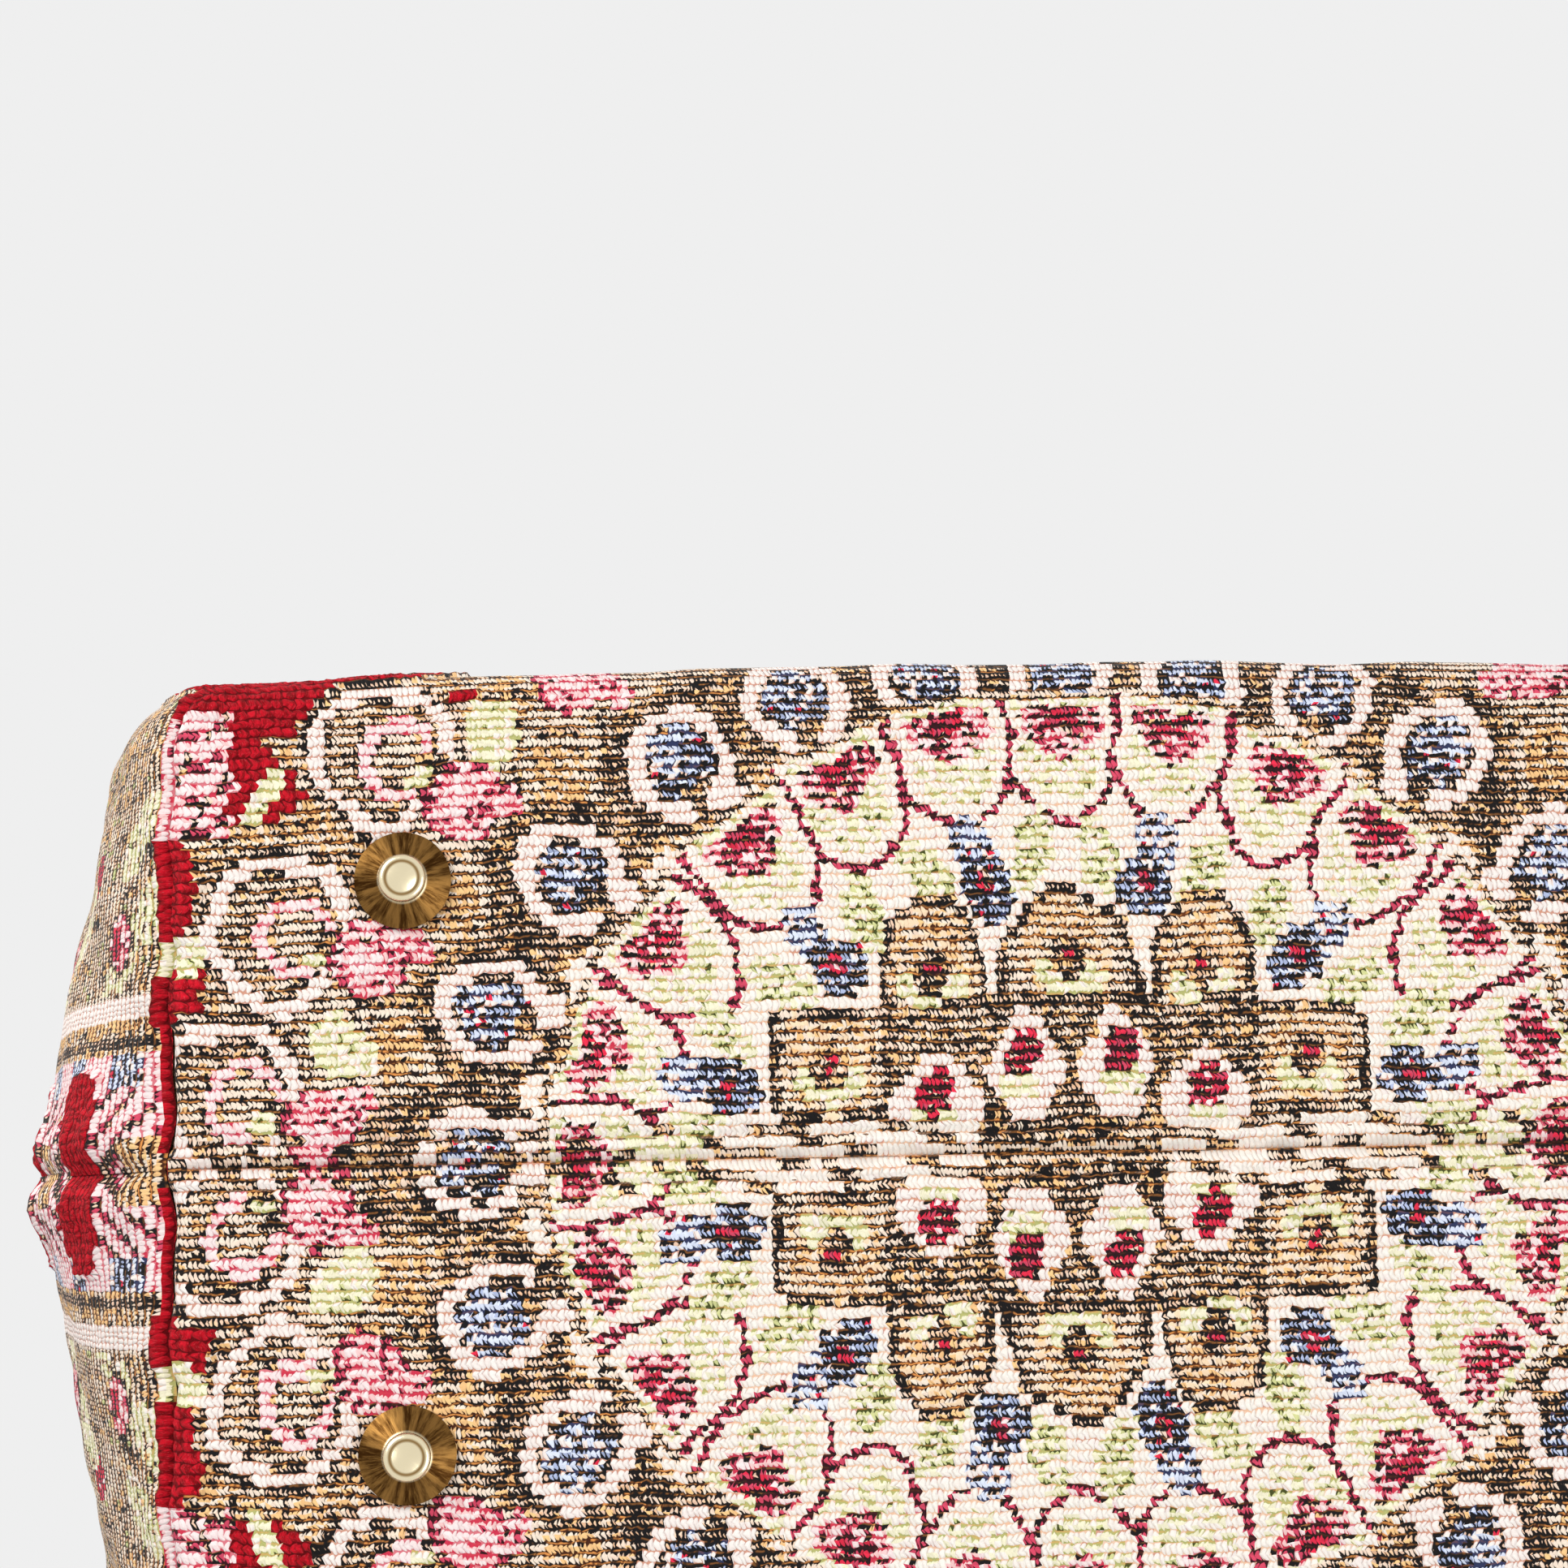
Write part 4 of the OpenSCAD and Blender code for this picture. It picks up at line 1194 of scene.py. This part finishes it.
def makePiping(leather):  # a leather cord covers the seam between carpet and throat
    piece = gridMesh("mouthPiping", piping["steps"], piping["sides"])
    along, around = gridShares(piece)
    _, u, front = aroundBag(along)
    side = cloth["sideSeam"]

    def edge(u):
        path = foldWall(np.clip(u, -side, side), np.full(len(u), cloth["topAt"]))
        path[:, 1] = np.where(front, path[:, 1], -path[:, 1])
        return path

    place = edge(u)
    run = edge(u + piping["look"]) - place
    run = np.where(front[:, None], run, -run)
    size = np.linalg.norm(run[:, :2], axis=1)
    outward = np.stack([run[:, 1], -run[:, 0]], 1) / np.maximum(size, 1e-6)[:, None]
    atEnd = size < 1e-3
    outward[atEnd] = np.stack([np.sign(place[atEnd, 0]), np.zeros(atEnd.sum())], 1)
    turn = around * 2 * np.pi
    r = piping["radius"]
    place[:, :2] += outward * (r * np.cos(turn) - piping["sunk"])[:, None]
    place[:, 2] = piping["z"] + r * np.sin(turn)
    setPlaces(piece, place)
    weld(outward=True)
    piece.data.materials.append(leather)
    return piece


# cotton lining, a loose bag inside the carpet

liningSet = dict(
    columns=300, rows=70, hemZ=164.0, floorZ=13.9, loose=3.6, turn=6.0, seamRoom=2.6, seamWide=9.0,
    wallTo=0.72, bendOver=0.05, floorFrom=0.77, floorOver=0.23, hemOut=0.6,
    fold=(0.45, 41, 0.7), crimp=(0.6, 17, 21), flatFrom=(8, 25),
)


def makeLining(cotton):
    piece = gridMesh("liningBag", liningSet["columns"], liningSet["rows"])
    along, down = gridShares(piece)
    u, uu, front = aroundBag(along)
    a = np.abs(uu)
    wallTo, turn = liningSet["wallTo"], liningSet["turn"]
    wall = np.clip(down / wallTo, 0, 1)
    bend = np.clip((down - wallTo) / liningSet["bendOver"], 0, 1) * np.pi / 2
    inward = np.clip((down - liningSet["floorFrom"]) / liningSet["floorOver"], 0, 1)
    z = liningSet["hemZ"] + (liningSet["floorZ"] + turn - liningSet["hemZ"]) * wall - turn * np.sin(bend)
    quarter = body["edgeR"] * math.pi / 4
    climbed = np.maximum(z - body["floorZ"] - body["edgeR"], 0.0) / wallClimb(quarter)
    place = foldWall(uu, cloth["foldAt"] + quarter + climbed)
    inset = liningSet["loose"] + turn * (1 - np.cos(bend)) - liningSet["hemOut"] * (1 - wall)
    inset += liningSet["seamRoom"] * np.exp(-(((cloth["sideSeam"] - a) / liningSet["seamWide"]) ** 2))
    theta = cornerAngle(a)
    place[:, 0] -= np.sign(uu) * inset * np.cos(theta)
    place[:, 1] += inset * np.sin(theta)
    size, pitch, phase = liningSet["fold"]
    crimp, crimpPitch, rise = liningSet["crimp"]
    flatFrom, flatOver = liningSet["flatFrom"]
    folds = np.sin(2 * np.pi * u / pitch + phase) + crimp * np.sin(2 * np.pi * u / crimpPitch + z / rise)
    soft = size * (1 + folds / (1 + crimp)) * np.sin(np.pi * wall)
    place[:, 1] += soft * np.clip((cloth["baseHalf"] - flatFrom - a) / flatOver, 0, 1)
    place[:, :2] *= (1 - inward)[:, None]
    place[:, 1] = np.where(front, place[:, 1], -place[:, 1])
    place[:, 2] = z
    setPlaces(piece, place)
    weld()
    piece.data.materials.append(cotton)
    return piece


# sewing thread: one stitch is modelled, and copied along each row


def stitchShape():
    bpy.ops.object.select_all(action="DESELECT")
    bpy.ops.mesh.primitive_uv_sphere_add(segments=7, ring_count=5, radius=1)
    shape = bpy.context.object
    bpy.ops.object.mode_set(mode="EDIT")
    bpy.ops.mesh.select_all(action="SELECT")
    bpy.ops.transform.rotate(value=math.pi / 2, orient_axis="Y", center_override=(0, 0, 0))
    bpy.ops.object.mode_set(mode="OBJECT")
    co = np.array([v.co[:] for v in shape.data.vertices])
    faces = [tuple(f.vertices) for f in shape.data.polygons]
    bpy.data.objects.remove(shape)
    return co, faces


def sewRow(name, path, outward, thread, length, gap, radius):  # path and outward in millimetres
    co, faces = stitchShape()
    arch = 1.2 * (1 - co[:, 0] ** 2) - 0.7  # the ends dive into the material
    path, outward = np.asarray(path, float), np.asarray(outward, float)
    far = np.concatenate([[0], np.cumsum(np.linalg.norm(np.diff(path, axis=0), axis=1))])

    def at(table, distance):
        return np.array([np.interp(distance, far, table[:, k]) for k in range(3)])

    count = int(far[-1] // (length + gap))
    places, polygons = [], []
    for i in range(count):
        middle = (i + 0.5) * far[-1] / count
        start, end = at(path, middle - length / 2), at(path, middle + length / 2)
        run = (end - start) / np.linalg.norm(end - start)
        up = at(outward, middle)
        up -= run * up.dot(run)
        up /= np.linalg.norm(up)
        long, wide = co[:, :1] * length / 2, co[:, 1:2] * radius
        high = (co[:, 2] + arch)[:, None] * radius
        places.append((start + end) / 2 + long * run + wide * np.cross(up, run) + high * up)
        polygons += [tuple(k + i * len(co) for k in f) for f in faces]
    mesh = bpy.data.meshes.new(name)
    mesh.from_pydata((np.concatenate(places) * mm).tolist(), [], polygons)
    mesh.polygons.foreach_set("use_smooth", np.ones(len(mesh.polygons), bool))
    piece = bpy.data.objects.new(name, mesh)
    scene.collection.objects.link(piece)
    piece.data.materials.append(thread)
    return piece


stitches = dict(
    seam=dict(length=3.6, gap=0.9, radius=0.22), seamOffset=3.6, seamHalf=141,
    leather=dict(length=3.0, gap=1.2, radius=0.34),
    endTilt=18.1, endPlace=(58.0, -67.76, 146.0), endFace=3.42, endHalf=7.8, endLow=-12.0, endHigh=9.0,
    tabHalf=11.8, tabTop=179.6, tabTall=35.2, tabFace=2.86, tabRound=(0.6, 0.41), tabTilt=0.12,
)


def sewHandleEnds(thread):
    tilt = math.radians(stitches["endTilt"])
    half, low, high = stitches["endHalf"], stitches["endLow"], stitches["endHigh"]
    outline = [(half, z) for z in np.linspace(high, low, 12)]
    outline += [(half * math.cos(t), low - half * math.sin(t)) for t in np.linspace(0, np.pi, 25)[1:-1]]
    outline += [(-half, z) for z in np.linspace(low, high, 12)]
    x, z = np.array(outline).T
    y = -stitches["endFace"]
    endX, endY, endZ = stitches["endPlace"]
    rows = []
    for face, facing in (("front", 1), ("back", -1)):
        for end, side in (("Right", 1), ("Left", -1)):
            px = facing * (side * endX + x)
            py = facing * (endY + y * math.cos(tilt) + z * math.sin(tilt))
            pz = endZ - y * math.sin(tilt) + z * math.cos(tilt)
            outward = [(0, -facing * math.cos(tilt), math.sin(tilt))] * len(x)
            name = face + end + "HandleStitches"
            rows.append(sewRow(name, np.stack([px, py, pz], 1), outward, thread, **stitches["leather"]))
    return rows


def sewTabs(thread):
    roundFrom, roundOver = stitches["tabRound"]
    shares = np.linspace(0, 1, 40)
    edge = np.sqrt(np.clip(1 - (np.clip(shares - roundFrom, 0, 1) / roundOver) ** 2, 0, 1))
    y, z = -stitches["tabHalf"] * edge, stitches["tabTop"] - stitches["tabTall"] * shares
    y, z = np.concatenate([y, -y[::-1]]), np.concatenate([z, z[::-1]])
    h = (z - body["floorZ"]) / body["height"]
    x = halfX(h) + seamPeak(h) * (1 - np.abs(y) / (halfY(h) - cornerR(h))) + stitches["tabFace"]
    rows = []
    for name, side in (("rightTabStitches", 1), ("leftTabStitches", -1)):
        outward = [(side, 0, stitches["tabTilt"])] * len(x)
        rows.append(sewRow(name, np.stack([side * x, side * y, z], 1), outward, thread, **stitches["leather"]))
    return rows


def sewBottomSeam(thread):
    rows = []
    half, off = stitches["seamHalf"], stitches["seamOffset"]
    u = np.linspace(-half, half, 2 * half + 1)
    for side, name in ((-1, "frontSeamStitches"), (1, "backSeamStitches")):
        z = body["floorZ"] - clothRelief(-side * u, np.full(len(u), off))
        path = np.stack([u, np.full(len(u), side * off), z], 1)
        rows.append(sewRow(name, path, [(0, 0, -1)] * len(u), thread, **stitches["seam"]))
    return rows


# leather, brass, cotton and the hidden parts

leatherSet = dict(
    throat=dict(colour=(58, 34, 24), worn=(84, 50, 34), rough=0.58, depth=0.0003),
    handle=dict(colour=(74, 42, 26), worn=(112, 66, 40), rough=0.46, depth=0.00025),
    wornEdge=(0.34, 0.68), roughEdge=(0.30, 0.72), duller=0.10, shinier=0.08,
    # crease is the colour of painted shade in the creases of the grain
    crease=(18, 9, 6), creaseShadeShare=0.45, shine=0.45, bump=0.6,
)


def makeLeatherMaterial(name, grain, colour, worn, rough, depth):
    look = leatherSet
    material, tree, bsdf = newMaterial(name)
    made = useGroup(tree, grain, Place=objectPlace(tree))
    tone = mixColour(tree, ramp(tree, made["Blotch"], *look["wornEdge"]), rgba(colour), rgba(worn))
    # painted shade: the near-black crease colour darkens the creases between the pebbles of the grain
    crease = times(tree, made["Crease"], -look["creaseShadeShare"], look["creaseShadeShare"])
    feedAll(tree, bsdf, {
        "Base Color": mixColour(tree, crease, tone, rgba(look["crease"])),
        "Roughness": ramp(tree, made["Blotch"], *look["roughEdge"], rough + look["duller"], rough - look["shinier"]),
        "Specular IOR Level": look["shine"],
    })
    bump(tree, made["Height"], depth, look["bump"], bsdf)
    return material


brassSet = dict(clean=(198, 162, 100), old=(104, 76, 44), rough=(0.22, 0.26), bump=(0.00004, 0.35))


def makeBrassMaterial(patina):
    material, tree, bsdf = newMaterial("antiqueBrass")
    made = useGroup(tree, patina, Place=objectPlace(tree))
    feedAll(tree, bsdf, {
        "Base Color": mixColour(tree, made["Tarnish"], rgba(brassSet["clean"]), rgba(brassSet["old"])),
        "Roughness": times(tree, made["Tarnish"], *brassSet["rough"]),
        "Metallic": 1.0,
    })
    bump(tree, made["Scratch"], *brassSet["bump"], bsdf)
    return material


footSet = dict(
    place=(111.0, 47.0), rayScale=25.0, streaks=(5.5, 5.0, 0.7), streakEdge=(0.36, 0.62),
    coneDark=(58, 34, 10), coneLight=(142, 104, 54), coneOld=(74, 46, 20), oldShare=0.35, coneFrom=(3.6, 4.3),
    boss=(240, 226, 190), groove=(150, 118, 70), grooveAt=2.75, grooveHalf=0.5,
    rough=(0.20, 0.22), bossRough=-0.12, bump=(0.00012, 0.5),
)


def makeFootMaterial(patina):  # spun cone with streaks from the middle, and a rubbed bright boss with a dark ring of painted shade
    look = footSet
    material, tree, bsdf = newMaterial("footBrass")
    place = objectPlace(tree)
    x, y = (
        mathNode(tree, "SUBTRACT", mathNode(tree, "ABSOLUTE", axis), middle * mm)
        for axis, middle in zip(axes(tree, place), look["place"])
    )
    radius = mathNode(tree, "SQRT", times(tree, x, x, times(tree, y, y)))
    angle = mathNode(tree, "ARCTAN2", y, x)
    ray = newNode(tree, "CombineXYZ", {
        "X": mathNode(tree, "COSINE", angle),
        "Y": mathNode(tree, "SINE", angle),
        "Z": times(tree, radius, look["rayScale"]),
    })
    streaks = noise(tree, ray.outputs[0], *look["streaks"])
    made = useGroup(tree, patina, Place=place)
    cone = ramp(tree, streaks, *look["streakEdge"])
    cone = mixColour(tree, cone, rgba(look["coneDark"]), rgba(look["coneLight"]))
    cone = mixColour(tree, times(tree, made["Tarnish"], look["oldShare"]), cone, rgba(look["coneOld"]))
    coneFrom, coneTo = look["coneFrom"]
    onBoss = ramp(tree, radius, coneFrom * mm, coneTo * mm, 1.0, 0.0)
    # painted shade: a dark ring round the boss at grooveAt, where the edge of the dish would shade
    fromGroove = mathNode(tree, "ABSOLUTE", mathNode(tree, "SUBTRACT", radius, look["grooveAt"] * mm))
    clear = ramp(tree, fromGroove, 0.0, look["grooveHalf"] * mm)
    boss = mixColour(tree, clear, rgba(look["groove"]), rgba(look["boss"]))
    feedAll(tree, bsdf, {
        "Base Color": mixColour(tree, onBoss, cone, boss),
        "Roughness": times(tree, onBoss, look["bossRough"], times(tree, streaks, *look["rough"])),
        "Metallic": 1.0,
    })
    bump(tree, times(tree, streaks, mathNode(tree, "SUBTRACT", 1.0, onBoss)), *look["bump"], bsdf)
    return material


cottonSet = dict(
    threads=1600.0, slope=0.6, blotch=(40, 4.0), dark=(170, 140, 104), light=(208, 180, 140), gap=(128, 100, 70),
    rough=0.9, bump=(0.0002, 0.5),
)


def makeCottonMaterial(beads):
    look = cottonSet
    material, tree, bsdf = newMaterial("liningCotton")
    place = objectPlace(tree)
    x, y, z = axes(tree, place)
    threads = newNode(tree, "CombineXYZ", {  # rows run level round the walls
        "X": times(tree, mathNode(tree, "ADD", x, y), look["threads"]),
        "Y": times(tree, times(tree, y, look["slope"], z), look["threads"]),
    })
    made = useGroup(tree, beads, Place=threads.outputs[0], Fine=0.0)
    tone = mixColour(tree, noise(tree, place, *look["blotch"]), rgba(look["dark"]), rgba(look["light"]))
    # painted shade: the darker gap colour fills the low ground between the threads
    tone = mixColour(tree, made["Bead"], rgba(look["gap"]), tone)
    feedAll(tree, bsdf, {"Base Color": tone, "Roughness": look["rough"]})
    bump(tree, made["Height"], *look["bump"], bsdf)
    return material


plainSet = dict(
    steel=dict(dark=(150, 150, 152), light=(186, 186, 190), scale=300, rough=0.30, metal=1.0, depth=0.00003),
    board=dict(dark=(112, 92, 72), light=(150, 126, 98), scale=500, rough=0.75, metal=0.0, depth=0.00015),
    grain=(6.0, 0.65), roughMore=0.25, bump=0.5,
)


def makePlainMaterial(name, dark, light, scale, rough, metal, depth):
    material, tree, bsdf = newMaterial(name)
    grain = noise(tree, objectPlace(tree), scale, *plainSet["grain"])
    feedAll(tree, bsdf, {
        "Base Color": mixColour(tree, grain, rgba(dark), rgba(light)),
        "Roughness": times(tree, grain, plainSet["roughMore"], rough),
        "Metallic": metal,
    })
    bump(tree, grain, depth, plainSet["bump"], bsdf)
    return material


threadSet = dict(
    seam=(150, 112, 84), leather=(206, 176, 126), shade=0.6, twist=900, distortion=1.5, rough=0.7, bump=(0.0001, 0.6),
)


def makeThreadMaterial(name, colour):
    material, tree, bsdf = newMaterial(name)
    twist = newNode(tree, "TexWave", {
        "Vector": objectPlace(tree), "Scale": threadSet["twist"], "Distortion": threadSet["distortion"],
    })
    twist.bands_direction = "DIAGONAL"
    dark = [c * threadSet["shade"] for c in colour]
    tone = mixColour(tree, twist.outputs["Fac"], rgba(dark), rgba(colour))
    feedAll(tree, bsdf, {"Base Color": tone, "Roughness": threadSet["rough"]})
    bump(tree, twist.outputs["Fac"], *threadSet["bump"], bsdf)
    return material


def dress(names, material):
    for name in names:
        for slot in nodes[name].material_slots:
            slot.material = material


# put the scene together

makeCamera()
makeLamps()
makeWorld()
makeFloor()
beadGroup = makeWeaveGroup()
leatherGroup = makeLeatherGroup()
brassGroup = makeBrassGroup()
weaveMaterial = makeWeaveMaterial(beadGroup)
chenilleMaterial = makeChenilleMaterial(beadGroup)
throatLeather = makeLeatherMaterial("throatLeather", leatherGroup, **leatherSet["throat"])
handleLeather = makeLeatherMaterial("handleLeather", leatherGroup, **leatherSet["handle"])
brass = makeBrassMaterial(brassGroup)
footBrass = makeFootMaterial(brassGroup)
cotton = makeCottonMaterial(beadGroup)
steel = makePlainMaterial("plainSteel", **plainSet["steel"])
fibreboard = makePlainMaterial("fibreboard", **plainSet["board"])
darkThread = makeThreadMaterial("seamThread", threadSet["seam"])
paleThread = makeThreadMaterial("leatherThread", threadSet["leather"])
print("materials made")

for panelName, node, turned in (("frontCarpet", "front_panel", False), ("backCarpet", "back_panel", True)):
    panel = makePanel(panelName, turned, weaveMaterial, chenilleMaterial)
    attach(panel, "bag")
    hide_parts(node)
print("carpet panels sewn")

for throatName, node, jaw, turned in (
    ("frontThroat", "front_yoke", "front_jaw", False),
    ("backThroat", "back_yoke", "back_jaw", True),
):
    piece = makeThroat(throatName, turned, throatLeather)
    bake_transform(piece)
    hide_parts(node)
piece = makePiping(throatLeather)
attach(piece, "bag")
piece = makeLining(cotton)
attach(piece, "bag")
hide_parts("lining")
print("throats, piping and lining made")

for piece in sewHandleEnds(paleThread) + sewTabs(paleThread):
    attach(piece, "bag")
for piece in sewBottomSeam(darkThread):
    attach(piece, "bag")
print("stitches sewn")

dress(["front_handle", "back_handle", "left_end_tab", "right_end_tab"], handleLeather)
dress(["front_jaw", "back_jaw", "front_clasp_ball", "back_clasp_ball"], brass)
dress(["left_hinge_rivet", "right_hinge_rivet", "handle_rivets"], brass)
dress(["foot_front_left", "foot_front_right", "foot_back_left", "foot_back_right"], footBrass)
dress(["foot_washers", "handle_burrs"], steel)
dress(["base_board"], fibreboard)
